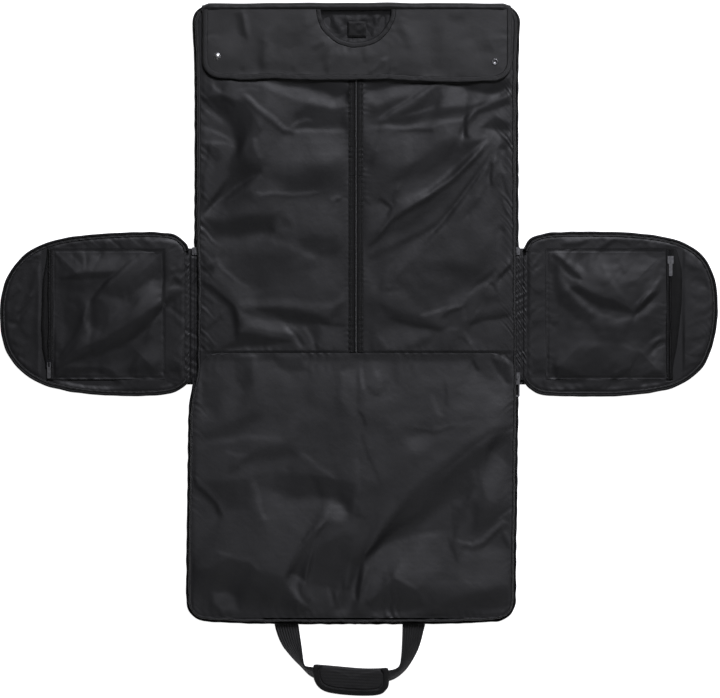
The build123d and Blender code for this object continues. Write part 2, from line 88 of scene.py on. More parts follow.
def waves(x, y, low, high, seed, n=26, angle=None, spread=math.pi):
    """Sum of seeded plane waves with wavelengths between low and high mm, about -1 to 1."""
    r = np.random.RandomState(seed)
    out = np.zeros(np.broadcast(x, y).shape)
    for _ in range(n):
        lam = low * (high / low) ** r.rand()
        a = r.rand() * 2 * math.pi if angle is None else angle + (r.rand() - 0.5) * spread
        out = out + math.sqrt(lam / high) * np.sin(2 * math.pi * (x * math.cos(a) + y * math.sin(a)) / lam + r.rand() * 6.283)
    return out / math.sqrt(n / 2) / 1.6


def warp(x, y, amount, scale, seed):
    return (x + amount * waves(x, y, scale, scale * 2.5, seed, 10),
            y + amount * waves(x, y, scale, scale * 2.5, seed + 1, 10))


def run1d(s, low, high, seed, n=14):
    """Irregular one-dimensional wave along a seam, about -1 to 1."""
    r = np.random.RandomState(seed)
    out = np.zeros(np.shape(s))
    for _ in range(n):
        lam = low * (high / low) ** r.rand()
        out = out + np.sin(2 * math.pi * s / lam + r.rand() * 6.283)
    return out / math.sqrt(n / 2) / 1.5


def poly_depth(x, y, poly):
    """Distance to a closed outline, plus within it."""
    pts = np.asarray(poly, float)
    best = np.full(np.shape(x), 1e9)
    odd = np.zeros(np.shape(x), bool)
    for (ax, ay), (bx, by) in zip(pts, np.roll(pts, -1, 0)):
        dx, dy = bx - ax, by - ay
        t = np.clip(((x - ax) * dx + (y - ay) * dy) / max(dx * dx + dy * dy, 1e-9), 0, 1)
        best = np.minimum(best, np.hypot(x - ax - t * dx, y - ay - t * dy))
        odd ^= ((ay > y) != (by > y)) & (x < dx * (y - ay) / (dy if abs(dy) > 1e-9 else 1e-9) + ax)
    return np.where(odd, best, -best)


def to_line(x, y, pts, sided=False):
    """Distance to a polyline and the share of its length at the nearest point; sided adds which side (plus: left of travel)."""
    pts = np.asarray(pts, float)
    seg = np.linalg.norm(np.diff(pts, axis=0), axis=1)
    total = max(seg.sum(), 1e-6)
    best = np.full(np.shape(x), 1e9)
    share = np.zeros(np.shape(x))
    hand = np.ones(np.shape(x))
    run = 0.0
    for i in range(len(seg)):
        a, b = pts[i], pts[i + 1]
        d = b - a
        t = np.clip(((x - a[0]) * d[0] + (y - a[1]) * d[1]) / max(seg[i] ** 2, 1e-9), 0, 1)
        q = np.hypot(x - a[0] - t * d[0], y - a[1] - t * d[1])
        near = q < best
        best = np.where(near, q, best)
        share = np.where(near, (run + t * seg[i]) / total, share)
        if sided:
            hand = np.where(near, np.where(d[0] * (y - a[1]) - d[1] * (x - a[0]) >= 0, 1.0, -1.0), hand)
        run += seg[i]
    return (best, share, hand) if sided else (best, share)


LIGHT_DIR = np.array([0.42, 0.91])


class Relief:
    """A cloth relief made from strokes: each says where the cloth turns towards the key light
    (plus) or away from it (minus). The heights are the surface whose slopes do that."""

    def __init__(self, x0, x1, y0, y1, strokes, slope=0.2, step=1.7, seed=1, grain=0.28, cap=7.0,
                 soft=0.04, reach=340.0, grain_low=26, grain_high=95, grain_angle=None, wide=0.0, bright=0.9, dark=1.15, areas=()):
        pad = 60.0
        self.x0, self.y0, self.step = x0 - pad, y0 - pad, step
        nx, ny = int((x1 - x0 + 2 * pad) / step) + 1, int((y1 - y0 + 2 * pad) / step) + 1
        gx, gy = np.meshgrid(self.x0 + np.arange(nx) * step, self.y0 + np.arange(ny) * step, indexing="ij")
        wx, wy = warp(gx, gy, 1.4, 26, seed + 50)
        b = np.zeros_like(gx)
        for power, soft_edge, poly in areas:
            b += power * smooth(0.5 + poly_depth(wx, wy, poly) / (2.0 * soft_edge))
        for power, width, pts in strokes:
            ends_at = 0.16
            if np.isscalar(width):
                d, s = to_line(wx, wy, pts)
                w_ = width
            else:
                d, s, hand = to_line(wx, wy, pts, True)
                w_ = np.where(hand > 0, width[0], width[1])
            ends = smooth(s / ends_at + 0.25) * smooth((1 - s) / ends_at + 0.25)
            b += power * np.exp(-(d / w_) ** 2) * ends
        ux, uy = warp(gx, gy, 9, 60, seed + 70)
        fine = waves(ux, uy, grain_low, grain_high, seed, 30, grain_angle, 1.5)
        b += grain * np.sign(fine) * np.abs(fine) ** 0.8
        if wide:
            b += wide * waves(ux, uy, 90, 240, seed + 5, 16)
        b = np.where(b > 0, b * bright, b * dark)
        b -= b.mean()
        kx = 2 * math.pi * np.fft.fftfreq(nx, step)[:, None]
        ky = 2 * math.pi * np.fft.fftfreq(ny, step)[None, :]
        lk = LIGHT_DIR[0] * kx + LIGHT_DIR[1] * ky
        k2 = kx ** 2 + ky ** 2
        h = np.fft.ifft2(1j * lk * np.fft.fft2(b * slope) / (lk ** 2 + soft * k2 + (2 * math.pi / reach) ** 2 * 0.35)).real
        self.h = cap * np.tanh(h / cap)

    def pinned(self, x0, x1, y0, y1, reach=42.0):
        """A copy whose heights come down to nothing at the edges of a rectangle; coarse relief fades slowly, fine relief fast."""
        out = object.__new__(Relief)
        out.x0, out.y0, out.step = self.x0, self.y0, self.step
        h = self.h.copy()
        for axis, lo, hi, org in ((0, x0, x1, self.x0), (1, y0, y1, self.y0)):
            if axis:
                h = h.T
            at = org + np.arange(h.shape[0]) * self.step
            k = 2 * math.pi * np.abs(np.fft.fftfreq(h.shape[1], self.step))
            for edge in (lo, hi):
                prof = h[int(np.clip(round((edge - org) / self.step), 0, h.shape[0] - 1))]
                fall = np.exp(-(0.7 * k[None] + 1.0 / reach) * np.abs(at - edge)[:, None])
                h = h - np.fft.ifft(np.fft.fft(prof)[None] * fall, axis=1).real
            if axis:
                h = h.T
        out.h = h
        return out

    def __call__(self, x, y):
        u = np.clip((np.asarray(x, float) - self.x0) / self.step, 0, self.h.shape[0] - 1.001)
        v = np.clip((np.asarray(y, float) - self.y0) / self.step, 0, self.h.shape[1] - 1.001)
        i, j = u.astype(int), v.astype(int)
        a, b = u - i, v - j
        a, b = a * a * (3 - 2 * a) * 0.5 + a * 0.5, b * b * (3 - 2 * b) * 0.5 + b * 0.5
        h = self.h
        return (h[i, j] * (1 - a) * (1 - b) + h[i + 1, j] * a * (1 - b) + h[i, j + 1] * (1 - a) * b + h[i + 1, j + 1] * a * b)


# ------------------------------------------------------------------ mesh helpers
def link(me, name):
    ob = bpy.data.objects.new(name, me)
    bpy.context.scene.collection.objects.link(ob)
    return ob


def quads_mesh(name, V, F, mats, midx=None, vn=None, smooth_shade=True):
    """A mesh from numpy points (mm) and quads."""
    me = bpy.data.meshes.new(name)
    V = np.asarray(V, np.float32) * MM
    F = np.asarray(F, np.int32)
    me.vertices.add(len(V))
    me.vertices.foreach_set("co", V.ravel())
    me.loops.add(F.size)
    me.loops.foreach_set("vertex_index", F.ravel())
    me.polygons.add(len(F))
    me.polygons.foreach_set("loop_start", np.arange(0, F.size, F.shape[1], dtype=np.int32))
    me.update(calc_edges=True)
    for m in (mats if isinstance(mats, (list, tuple)) else [mats]):
        me.materials.append(m)
    if midx is not None:
        me.polygons.foreach_set("material_index", np.asarray(midx, np.int32))
    me.polygons.foreach_set("use_smooth", np.full(len(F), smooth_shade))
    me.update()
    if vn is not None:
        me.normals_split_custom_set_from_vertices([tuple(n) for n in vn])
    return link(me, name)


def grid_faces(n, m, close_m=False):
    i, j = np.meshgrid(np.arange(n - 1), np.arange(m if close_m else m - 1), indexing="ij")
    j2 = (j + 1) % m
    return np.stack([i * m + j, (i + 1) * m + j, (i + 1) * m + j2, i * m + j2], -1).reshape(-1, 4)


def grid_normals(P):
    du = np.gradient(P, axis=0)
    dv = np.gradient(P, axis=1)
    n = np.cross(du, dv)
    return n / np.maximum(np.linalg.norm(n, axis=2, keepdims=True), 1e-9)


def thicken(V, F, N, t):
    """Close an open quad sheet into a thin solid: lower skin and rim."""
    n = len(V)
    V2 = np.concatenate([V, V - N * t])
    low = F[:, ::-1] + n
    e = np.concatenate([F[:, [0, 1]], F[:, [1, 2]], F[:, [2, 3]], F[:, [3, 0]]])
    key = np.sort(e, axis=1)
    _, inv, cnt = np.unique(key, axis=0, return_inverse=True, return_counts=True)
    rim = e[cnt[inv.ravel()] == 1]
    rimq = np.stack([rim[:, 1], rim[:, 0], rim[:, 0] + n, rim[:, 1] + n], -1)
    return V2, np.concatenate([F, low, rimq]), len(F)


def cloth(name, P, N, rows, thick, mat):
    """One cut of a cloth grid: rows of the grid, thickened, with normals taken from the whole grid so that cuts don't show."""
    a, b = rows
    p, nn = P[a:b], N[a:b]
    V, Nn = p.reshape(-1, 3), nn.reshape(-1, 3)
    F = grid_faces(p.shape[0], p.shape[1])
    V2, F2, top = thicken(V, F, Nn, thick)
    return quads_mesh(name, V2, F2, mat, vn=np.concatenate([Nn, -Nn]))


def path_frames(path, closed=False):
    path = np.asarray(path, float)
    if closed:
        t = np.roll(path, -1, 0) - np.roll(path, 1, 0)
    else:
        t = np.gradient(path, axis=0)
    t /= np.maximum(np.linalg.norm(t, axis=1, keepdims=True), 1e-9)
    side = np.cross(t, np.array([0, 0, 1.0]))
    side /= np.maximum(np.linalg.norm(side, axis=1, keepdims=True), 1e-9)
    up = np.cross(side, t)
    return path, t, side, up


def sweep(path, profile, closed_path=False, closed_profile=True, wobble=None):
    """Sweep a section (side, up) along a path. side points to the right of travel. wobble(s, k) gives (ds, du)."""
    path, t, side, up = path_frames(path, closed_path)
    profile = np.asarray(profile, float)
    s = np.concatenate([[0], np.cumsum(np.linalg.norm(np.diff(path, axis=0), axis=1))])
    n, m = len(path), len(profile)
    pu = np.repeat(profile[None, :, 0], n, 0)
    pv = np.repeat(profile[None, :, 1], n, 0)
    if wobble is not None:
        du, dv = wobble(s[:, None], pu, pv)
        pu, pv = pu + du, pv + dv
    P = path[:, None, :] + side[:, None, :] * pu[..., None] + up[:, None, :] * pv[..., None]
    F = grid_faces(n, m, closed_profile)
    if closed_path:
        i = np.arange(m if closed_profile else m - 1)
        j = (i + 1) % m
        F = np.concatenate([F, np.stack([(n - 1) * m + i, 0 * m + i, 0 * m + j, (n - 1) * m + j], -1)])
    return P.reshape(-1, 3), F, (n, m)


def capped(V, F, shape):
    """Quad caps for the two ends of an open sweep with a closed section (even point count)."""
    n, m = shape
    caps = []
    for base, flip in ((0, False), ((n - 1) * m, True)):
        for k in range(m // 2 - 1):
            q = [base + k, base + k + 1, base + m - 2 - k, base + m - 1 - k]
            caps.append(q[::-1] if flip else q)
    return np.concatenate([F, np.array(caps, np.int32)])


def join_parts(parts):
    """Several (V, F, material index) sets as one mesh's arrays."""
    Vs, Fs, Ms, off = [], [], [], 0
    for V, F, m in parts:
        Vs.append(V)
        Fs.append(F + off)
        Ms.append(np.full(len(F), m) if np.isscalar(m) else np.asarray(m))
        off += len(V)
    return np.concatenate(Vs), np.concatenate(Fs), np.concatenate(Ms)


def resample(pts, step):
    pts = np.asarray(pts, float)
    seg = np.linalg.norm(np.diff(pts, axis=0), axis=1)
    s = np.concatenate([[0], np.cumsum(seg)])
    n = max(int(round(s[-1] / step)), 2)
    q = np.linspace(0, s[-1], n + 1)
    return np.stack([np.interp(q, s, pts[:, k]) for k in range(pts.shape[1])], -1)


def arc(cx, cy, r, a0, a1, n=10, z=0.0):
    a = np.linspace(math.radians(a0), math.radians(a1), n)
    return np.stack([cx + r * np.cos(a), cy + r * np.sin(a), np.full(n, z)], -1)


def tube_profile(r, n=10, squash=1.0, cu=0.0, cv=0.0):
    a = np.linspace(0, 2 * math.pi, n, endpoint=False)
    return np.stack([cu + r * np.cos(a), cv + r * squash * np.sin(a)], -1)


def stitches(points, normals_up, length=2.6, width=0.75, gap=1.3, lift=0.25, z=None):
    """A run of stitches as small raised threads along a path of points (mm)."""
    pts = resample(points, length + gap)
    V, F, off = [], [], 0
    for i in range(len(pts) - 1):
        a = pts[i]
        d = pts[i + 1] - a
        L = np.linalg.norm(d)
        if L < 1e-6:
            continue
        d /= L
        b = a + d * length
        s = np.cross(d, [0, 0, 1.0])
        s /= max(np.linalg.norm(s), 1e-9)
        up = np.array([0, 0, 1.0])
        w = width / 2
        mid = (a + b) / 2
        ring = [a - s * w * .5 - up * .3, a + s * w * .5 - up * .3, mid + s * w + up * lift, b + s * w * .5 - up * .3, b - s * w * .5 - up * .3, mid - s * w + up * lift]
        V += ring
        F += [[off, off + 1, off + 2, off + 5], [off + 5, off + 2, off + 3, off + 4]]
        off += 6
    return np.array(V), np.array(F, np.int32)


# ------------------------------------------------------------------ materials
class Shader:
    def __init__(self, name):
        self.m = bpy.data.materials.new(name)
        self.m.use_nodes = True
        self.t = self.m.node_tree
        self.b = self.t.nodes["Principled BSDF"]
        self.tc = None

    def node(self, kind, **props):
        n = self.t.nodes.new(kind)
        for k, v in props.items():
            setattr(n, k, v)
        return n

    def put(self, n, **inputs):
        for k, v in inputs.items():
            key = int(k[1:]) if k[0] == "i" and k[1:].isdigit() else k.replace("_", " ")
            if isinstance(v, bpy.types.NodeSocket):
                self.t.links.new(v, n.inputs[key])
            else:
                n.inputs[key].default_value = v
        return n

    def coords(self, own):
        """own: the mesh carries its flat cloth coordinates (metres) in the attribute "flat"."""
        if self.tc is None:
            if own:
                self.tc = self.node("ShaderNodeAttribute", attribute_name="flat").outputs["Vector"]
            else:
                self.tc = self.node("ShaderNodeTexCoord").outputs["Object"]
        return self.tc

    def noise(self, vec, scale, detail=4.0, rough=0.55, stretch=None):
        if stretch is not None:
            mp = self.put(self.node("ShaderNodeMapping"), Vector=vec, Scale=stretch)
            vec = mp.outputs[0]
        n = self.put(self.node("ShaderNodeTexNoise"), Vector=vec, Scale=scale, Detail=detail, Roughness=rough)
        return n.outputs["Fac"]

    def math(self, op, a, b=None, c=None):
        n = self.node("ShaderNodeMath", operation=op)
        self.put(n, i0=a)
        if b is not None:
            self.put(n, i1=b)
        if c is not None:
            self.put(n, i2=c)
        return n.outputs[0]

    def remap(self, v, a, b, lo, hi):
        n = self.node("ShaderNodeMapRange")
        self.put(n, Value=v, From_Min=a, From_Max=b, To_Min=lo, To_Max=hi)
        return n.outputs[0]

    def weave(self, vec, pitch, angle=0.0):
        """Plain weave height: threads over and under, 0 to 1."""
        if angle:
            vec = self.put(self.node("ShaderNodeMapping"), Vector=vec, Rotation=(0, 0, angle)).outputs[0]
        sep = self.put(self.node("ShaderNodeSeparateXYZ"), Vector=vec)
        k = math.pi / pitch
        sx = self.math("SINE", self.math("MULTIPLY", sep.outputs[0], k))
        sy = self.math("SINE", self.math("MULTIPLY", sep.outputs[1], k))
        return self.math("MULTIPLY_ADD", self.math("MULTIPLY", sx, sy), 0.5, 0.5)


def fabric(name, dark, light, rough=0.46, pitch=0.0011, bump=0.10, own=True, sheen=0.0, spec=0.5, blotch=9.0,
           wrinkle=0.0, wrinkle_scale=55.0, angle=0.0, ribs=None, fuzz=0.0):
    s = Shader(name)
    v = s.coords(own)
    big = s.noise(v, blotch, 3.0, 0.5)
    fine = s.noise(v, 420.0, 2.0, 0.6)
    thread = s.noise(v, 900.0, 1.0, 0.5, stretch=(1.0, 0.12, 1.0))
    mix = s.math("MULTIPLY_ADD", fine, 0.35, s.math("MULTIPLY", big, 0.65))
    ramp = s.node("ShaderNodeValToRGB")
    ramp.color_ramp.elements[0].position, ramp.color_ramp.elements[1].position = 0.3, 0.72
    ramp.color_ramp.elements[0].color = (*dark, 1)
    ramp.color_ramp.elements[1].color = (*light, 1)
    s.put(ramp, Fac=mix)
    s.put(s.b, Base_Color=ramp.outputs[0])
    s.put(s.b, Roughness=s.remap(s.math("ADD", s.math("MULTIPLY", big, 0.7), s.math("MULTIPLY", fine, 0.3)), 0.3, 0.7, rough - 0.035, rough + 0.045))
    s.b.inputs["Specular IOR Level"].default_value = spec
    if sheen:
        s.b.inputs["Sheen Weight"].default_value = sheen
        s.b.inputs["Sheen Roughness"].default_value = 0.5
    w = s.weave(v, pitch, angle)
    h = s.math("ADD", s.math("MULTIPLY", w, 0.8), s.math("MULTIPLY", thread, 0.5))
    if fuzz:
        h = s.math("ADD", h, s.math("MULTIPLY", s.noise(v, 1500.0, 2.0, 0.7), fuzz))
    if ribs:
        axis, rib = ribs
        sep = s.put(s.node("ShaderNodeSeparateXYZ"), Vector=v)
        h = s.math("ADD", h, s.math("MULTIPLY", s.math("SINE", s.math("MULTIPLY", sep.outputs[axis], 2 * math.pi / rib)), 1.6))
    bp = s.put(s.node("ShaderNodeBump"), Strength=bump, Distance=0.0004, Height=h)
    out = bp.outputs[0]
    if wrinkle:
        wv = s.noise(v, wrinkle_scale, 5.0, 0.6)
        ridge = s.math("ABSOLUTE", s.math("SUBTRACT", wv, 0.5))
        bp2 = s.put(s.node("ShaderNodeBump"), Strength=wrinkle, Distance=0.004, Height=s.math("SQRT", ridge), Normal=out)
        out = bp2.outputs[0]
    s.put(s.b, Normal=out)
    return s.m


def metal(name, colour, rough, scratch=0.25):
    s = Shader(name)
    v = s.coords(False)
    n = s.noise(v, 160.0, 5.0, 0.6)
    f = s.noise(v, 1400.0, 3.0, 0.6, stretch=(1.0, 0.15, 1.0))
    ramp = s.node("ShaderNodeValToRGB")
    ramp.color_ramp.elements[0].position, ramp.color_ramp.elements[1].position = 0.32, 0.62
    ramp.color_ramp.elements[0].color = (*[c * 0.55 for c in colour], 1)
    ramp.color_ramp.elements[1].color = (*colour, 1)
    s.put(ramp, Fac=n)
    s.put(s.b, Base_Color=ramp.outputs[0], Metallic=1.0, Roughness=s.remap(f, 0.3, 0.7, rough - 0.06, rough + 0.12))
    bp = s.put(s.node("ShaderNodeBump"), Strength=scratch, Distance=0.0002, Height=s.math("ADD", n, f))
    s.put(s.b, Normal=bp.outputs[0])
    return s.m


def plastic(name, colour, rough):
    s = Shader(name)
    v = s.coords(False)
    n = s.noise(v, 900.0, 3.0, 0.6)
    big = s.noise(v, 60.0, 3.0, 0.5)
    ramp = s.node("ShaderNodeValToRGB")
    ramp.color_ramp.elements[0].color = (*[c * 0.8 for c in colour], 1)
    ramp.color_ramp.elements[1].color = (*[c * 1.25 for c in colour], 1)
    s.put(ramp, Fac=big)
    s.put(s.b, Base_Color=ramp.outputs[0], Roughness=s.remap(big, 0.3, 0.7, rough - 0.05, rough + 0.08))
    s.put(s.b, Normal=s.put(s.node("ShaderNodeBump"), Strength=0.3, Distance=0.0003, Height=n).outputs[0])
    return s.m


def grey(v, tint=(1.0, 1.0, 1.0)):
    return tuple(v * t for t in tint)


COOL = (0.98, 0.98, 1.05)
M = {}
M["cover"] = fabric("nylon_cover", grey(0.0062, COOL), grey(0.0092, COOL), rough=0.50, pitch=0.0008, bump=0.06, wrinkle=0.05, wrinkle_scale=42.0, spec=0.37)
# the lower cover is the covers' nylon made about a third lighter and more reflective, to make up for the key light
# falling off towards the bottom end: painted light
M["cover_lower"] = fabric("nylon_cover_lower_painted_light", grey(0.0082, COOL), grey(0.0118, COOL), rough=0.50, pitch=0.0008, bump=0.06, wrinkle=0.05, wrinkle_scale=42.0, spec=0.47)
M["wing"] = fabric("nylon_wing", grey(0.0058, COOL), grey(0.0088, COOL), rough=0.49, pitch=0.0008, bump=0.06, wrinkle=0.04, wrinkle_scale=28.0, spec=0.34)
M["lining"] = fabric("lining_nylon", grey(0.0050, COOL), grey(0.0075, COOL), rough=0.50, pitch=0.0006, bump=0.06, wrinkle=0.12, wrinkle_scale=40.0, spec=0.30)
M["flap"] = fabric("nylon_flap", grey(0.0080), grey(0.0108), rough=0.50, pitch=0.0010, bump=0.14, wrinkle=0.04, wrinkle_scale=36.0, spec=0.42)
M["flap_tape"] = fabric("flap_binding", grey(0.0066), grey(0.0092), rough=0.55, spec=0.33, pitch=0.0012, bump=0.25, ribs=(1, 0.0016), fuzz=0.3)
M["shell"] = fabric("nylon_shell", grey(0.008), grey(0.013), rough=0.55, pitch=0.0016, bump=0.4, sheen=0.02)
M["binding"] = fabric("tape_binding", grey(0.0050), grey(0.0080), rough=0.56, pitch=0.0012, bump=0.35, ribs=(1, 0.0016), fuzz=0.3, spec=0.4)
M["piping"] = fabric("tape_piping", grey(0.0018), grey(0.0032), rough=0.55, pitch=0.0012, bump=0.3, spec=0.22)
M["tape"] = fabric("tape_zip", grey(0.0028), grey(0.0045), rough=0.58, pitch=0.0010, bump=0.4, ribs=(0, 0.0014), spec=0.3)
M["band"] = fabric("flap_root_band", grey(0.0042), grey(0.0064), rough=0.56, pitch=0.0012, bump=0.3, spec=0.32)
M["coil"] = fabric("zip_coil", grey(0.006), grey(0.010), rough=0.36, pitch=0.0011, bump=0.1, spec=0.5)
M["thread"] = fabric("sewing_thread", grey(0.006), grey(0.010), rough=0.5, pitch=0.0005, bump=0.2)
M["webbing"] = fabric("webbing", grey(0.0070), grey(0.0110), rough=0.55, pitch=0.0021, bump=0.7, ribs=(0, 0.0042), fuzz=0.4, spec=0.4)
M["grip"] = fabric("grip_fabric", grey(0.0075), grey(0.0100), rough=0.62, pitch=0.0016, bump=0.3, fuzz=0.4, spec=0.30)
M["hidden"] = fabric("base_board_sheet", grey(0.04), grey(0.06), rough=0.6, pitch=0.002, bump=0.3, own=False)
M["metal"] = metal("slider_metal", (0.22, 0.22, 0.225), 0.38)
M["dark_metal"] = metal("slider_black", (0.03, 0.03, 0.032), 0.42)
M["snap"] = metal("snap_metal", (0.42, 0.42, 0.42), 0.26, 0.1)
M["pull"] = plastic("pull_tab", (0.006, 0.006, 0.006), 0.40)


def set_flat(ob, xy):
    """Store the flat cloth coordinates (mm) of every vertex, in metres, for the weave."""
    a = ob.data.attributes.new("flat", "FLOAT_VECTOR", "POINT")
    v = np.zeros((len(ob.data.vertices), 3), np.float32)
    xy = np.asarray(xy, np.float32)
    v[:, :xy.shape[1]] = xy * MM
    a.data.foreach_set("vector", v.ravel())


def flat_own(ob):
    co = np.zeros(len(ob.data.vertices) * 3, np.float32)
    ob.data.vertices.foreach_get("co", co)
    set_flat(ob, co.reshape(-1, 3) / MM)


# ------------------------------------------------------------------ covers: where the cloth turns to the light (+) or away (-)
UL_AREAS = [
    (-1.1, 5, [(-205, 402), (-178, 397), (-150, 396), (-112, 389), (-72, 383), (-52, 376), (-34, 368), (-20, 372), (-6, 378), (-2, 402)]),
    (0.62, 5, [(-186, 393), (-150, 394), (-114, 387), (-76, 379), (-50, 367), (-34, 360), (-18, 369), (-18, 353), (-36, 350), (-60, 356), (-86, 361), (-110, 367), (-132, 376), (-160, 386)]),
    (0.30, 12, [(-150, 372), (-108, 366), (-112, 330), (-128, 334), (-150, 356)]),
    (-0.42, 7, [(-104, 338), (-88, 356), (-60, 354), (-18, 348), (-16, 319), (-60, 319), (-96, 322)]),
    (0.32, 9, [(-158, 308), (-120, 304), (-60, 308), (-14, 310), (-14, 262), (-60, 256), (-120, 254), (-154, 262)]),
    (0.28, 12, [(-76, 302), (-16, 302), (-16, 262), (-66, 262)]),
    (-0.42, 14, [(-150, 238), (-90, 244), (-16, 244), (-16, 206), (-70, 206), (-120, 214)]),
    (-0.62, 4, [(-264, 364), (-240, 372), (-206, 366), (-190, 358), (-176, 342), (-166, 322), (-160, 312), (-166, 302), (-174, 296), (-173, 282), (-166, 268), (-160, 256), (-160, 245), (-168, 236),
                (-186, 226), (-206, 212), (-230, 195), (-250, 182), (-262, 175), (-248, 189), (-236, 204), (-223, 224), (-215, 244), (-208, 260), (-199, 280), (-199, 291), (-206, 306), (-214, 320), (-224, 331), (-240, 344), (-256, 356)]),
    (-0.62, 9, [(-200, 286), (-184, 262), (-163, 243), (-190, 224), (-220, 205), (-244, 190), (-226, 222), (-208, 258)]),
    (-0.45, 6, [(-250, 366), (-226, 372), (-214, 350), (-216, 336), (-236, 344)]),
    (0.34, 7, [(-262, 322), (-246, 314), (-226, 306), (-206, 297), (-200, 284), (-203, 268), (-210, 254), (-218, 236), (-228, 218), (-244, 204), (-256, 196), (-260, 240), (-262, 290)]),
    (-0.55, 5, [(-252, 288), (-234, 280), (-226, 266), (-238, 256), (-250, 266)]),
    (-0.85, 10, [(-254, 158), (-210, 164), (-178, 168), (-142, 166), (-139, 141), (-170, 138), (-204, 131), (-240, 134), (-252, 146)]),
    (-0.35, 6, [(-128, 166), (-112, 164), (-108, 146), (-126, 150)]),
    (0.24, 9, [(-252, 130), (-200, 128), (-140, 134), (-100, 140), (-60, 150), (-30, 146), (-40, 190), (-110, 196), (-140, 180), (-132, 140), (-180, 116), (-240, 112)]),
    (-0.42, 8, [(-96, 126), (-72, 134), (-34, 130), (-24, 112), (-36, 100), (-60, 100), (-84, 112)]),
    (-0.22, 12, [(-216, 100), (-160, 108), (-110, 96), (-76, 78), (-96, 56), (-150, 44), (-196, 52), (-212, 76)]),
    (0.22, 12, [(-70, 96), (-18, 92), (-18, 50), (-60, 42), (-78, 66)]),
    (0.34, 8, [(-244, 92), (-222, 98), (-218, 80), (-206, 62), (-186, 46), (-160, 36), (-170, 14), (-196, 18), (-214, 38), (-234, 60), (-250, 76)]),
    (0.36, 6, [(-202, 20), (-150, 28), (-90, 22), (-40, 20), (-22, 36), (-20, 18), (-40, 8), (-70, 8), (-110, 13), (-160, 14), (-192, 6)]),
    (-0.85, 6, [(-168, 8), (-132, 11), (-98, 6), (-70, -1), (-48, -9), (-46, -18), (-80, -15), (-118, -12), (-150, 0)]),
    (0.62, 5, [(-198, 4), (-178, -3), (-150, -10), (-122, -14), (-100, -21), (-104, -34), (-130, -31), (-160, -26), (-188, -20)]),
    (-0.95, 5, [(-202, -30), (-172, -34), (-140, -41), (-112, -47), (-140, -52), (-180, -55), (-226, -59), (-206, -44)]),
    (0.30, 8, [(-106, -22), (-84, -18), (-70, -62), (-90, -64)]),
    (0.28, 10, [(-60, -22), (-20, -22), (-20, -62), (-56, -62)]),
    (0.16, 10, [(-262, 20), (-226, 14), (-212, -10), (-212, -40), (-240, -60), (-262, -50)]),
]
UPPER_LEFT = [
    (1.05, (3.2, 4.6), [(-192, 376), (-180, 368), (-163, 352), (-148, 340), (-134, 331), (-124, 322), (-114, 314)]),
    (-0.55, (4, 5), [(-196, 366), (-172, 350), (-156, 334), (-140, 322), (-122, 309), (-100, 307)]),
    (0.8, (3, 4.4), [(-114, 314), (-100, 311), (-86, 313), (-62, 312), (-38, 311), (-14, 314)]),
    (0.55, 3.0, [(-112, 318), (-98, 326), (-84, 330), (-74, 328)]),
    (-0.35, 3.2, [(-104, 318), (-90, 320), (-60, 319)]),
    (0.40, 3.0, [(-200, 381), (-180, 384), (-164, 380)]),
    (0.75, 3.6, [(-244, 394), (-238, 384), (-226, 376)]),
    (-0.7, 4, [(-232, 372), (-220, 366), (-206, 352)]),
    (0.45, 3.2, [(-258, 346), (-240, 338), (-226, 326)]),
    (0.55, 3.4, [(-258, 320), (-240, 310), (-222, 302), (-206, 293)]),
    (0.50, 3.2, [(-258, 292), (-230, 290), (-204, 287)]),
    (-0.6, 3.0, [(-256, 290), (-250, 276), (-254, 258), (-258, 246)]),
    (0.5, 4, [(-170, 300), (-172, 286), (-165, 272), (-162, 262)]),
    (0.75, (5.5, 4), [(-160, 243), (-170, 234), (-186, 225), (-206, 211), (-230, 192), (-247, 176), (-262, 162)]),
    (0.30, (3, 12), [(-140, 205), (-170, 205)]),
    (-0.45, (12, 3), [(-176, 210), (-200, 200), (-228, 184)]),
    (0.5, (2.5, 5), [(-176, 206), (-150, 205), (-110, 205), (-60, 206)]),
    (-0.35, (3, 4), [(-60, 202), (-110, 199), (-160, 199)]),
    (0.32, 6, [(-170, 132), (-140, 124), (-112, 116), (-88, 104), (-64, 92)]),
    (-0.3, 3.4, [(-246, 104), (-236, 84), (-220, 66), (-204, 52)]),
    (0.4, 3.4, [(-240, 98), (-232, 82), (-216, 68), (-198, 54), (-178, 44)]),
    (-0.5, 4.5, [(-262, 96), (-254, 82), (-246, 76), (-240, 90)]),
    (-0.8, 5.5, [(-262, 72), (-252, 76), (-243, 84)]),
    (-1.15, (3.5, 6.5), [(-266, 56), (-250, 47), (-235, 36), (-221, 24), (-211, 12), (-205, -2), (-201, -14), (-203, -30)]),
    (-0.45, 3.2, [(-266, 38), (-252, 24), (-242, 16)]),
    (0.3, 3.2, [(-262, 40), (-246, 26), (-236, 18)]),
    (-0.5, 3.6, [(-254, -26), (-240, -16), (-230, -6), (-228, 4)]),
    (0.3, 3.6, [(-250, -10), (-240, -4), (-234, 6)]),
    (-0.5, 4, [(-262, -58), (-250, -52), (-240, -60)]),
    (0.8, (3.2, 4.2), [(-120, -20), (-108, -34), (-100, -48), (-91, -62)]),
    (-0.4, 3.6, [(-112, -22), (-98, -38), (-86, -56)]),
    (0.55, 3.4, [(-88, -18), (-78, -36), (-70, -58)]),
    (-0.5, 3.4, [(-72, -50), (-62, -60), (-52, -64)]),
    (-0.55, 2.6, [(-62, -17), (-40, -18), (-18, -18)]),
    (0.45, 2.8, [(-44, 194), (-32, 198), (-20, 196), (-12, 192)]),
    (-0.6, 2.8, [(-34, 190), (-22, 198), (-10, 197)]),
    (-0.45, 6, [(-20, 22), (-30, 10), (-34, -8)]),
]
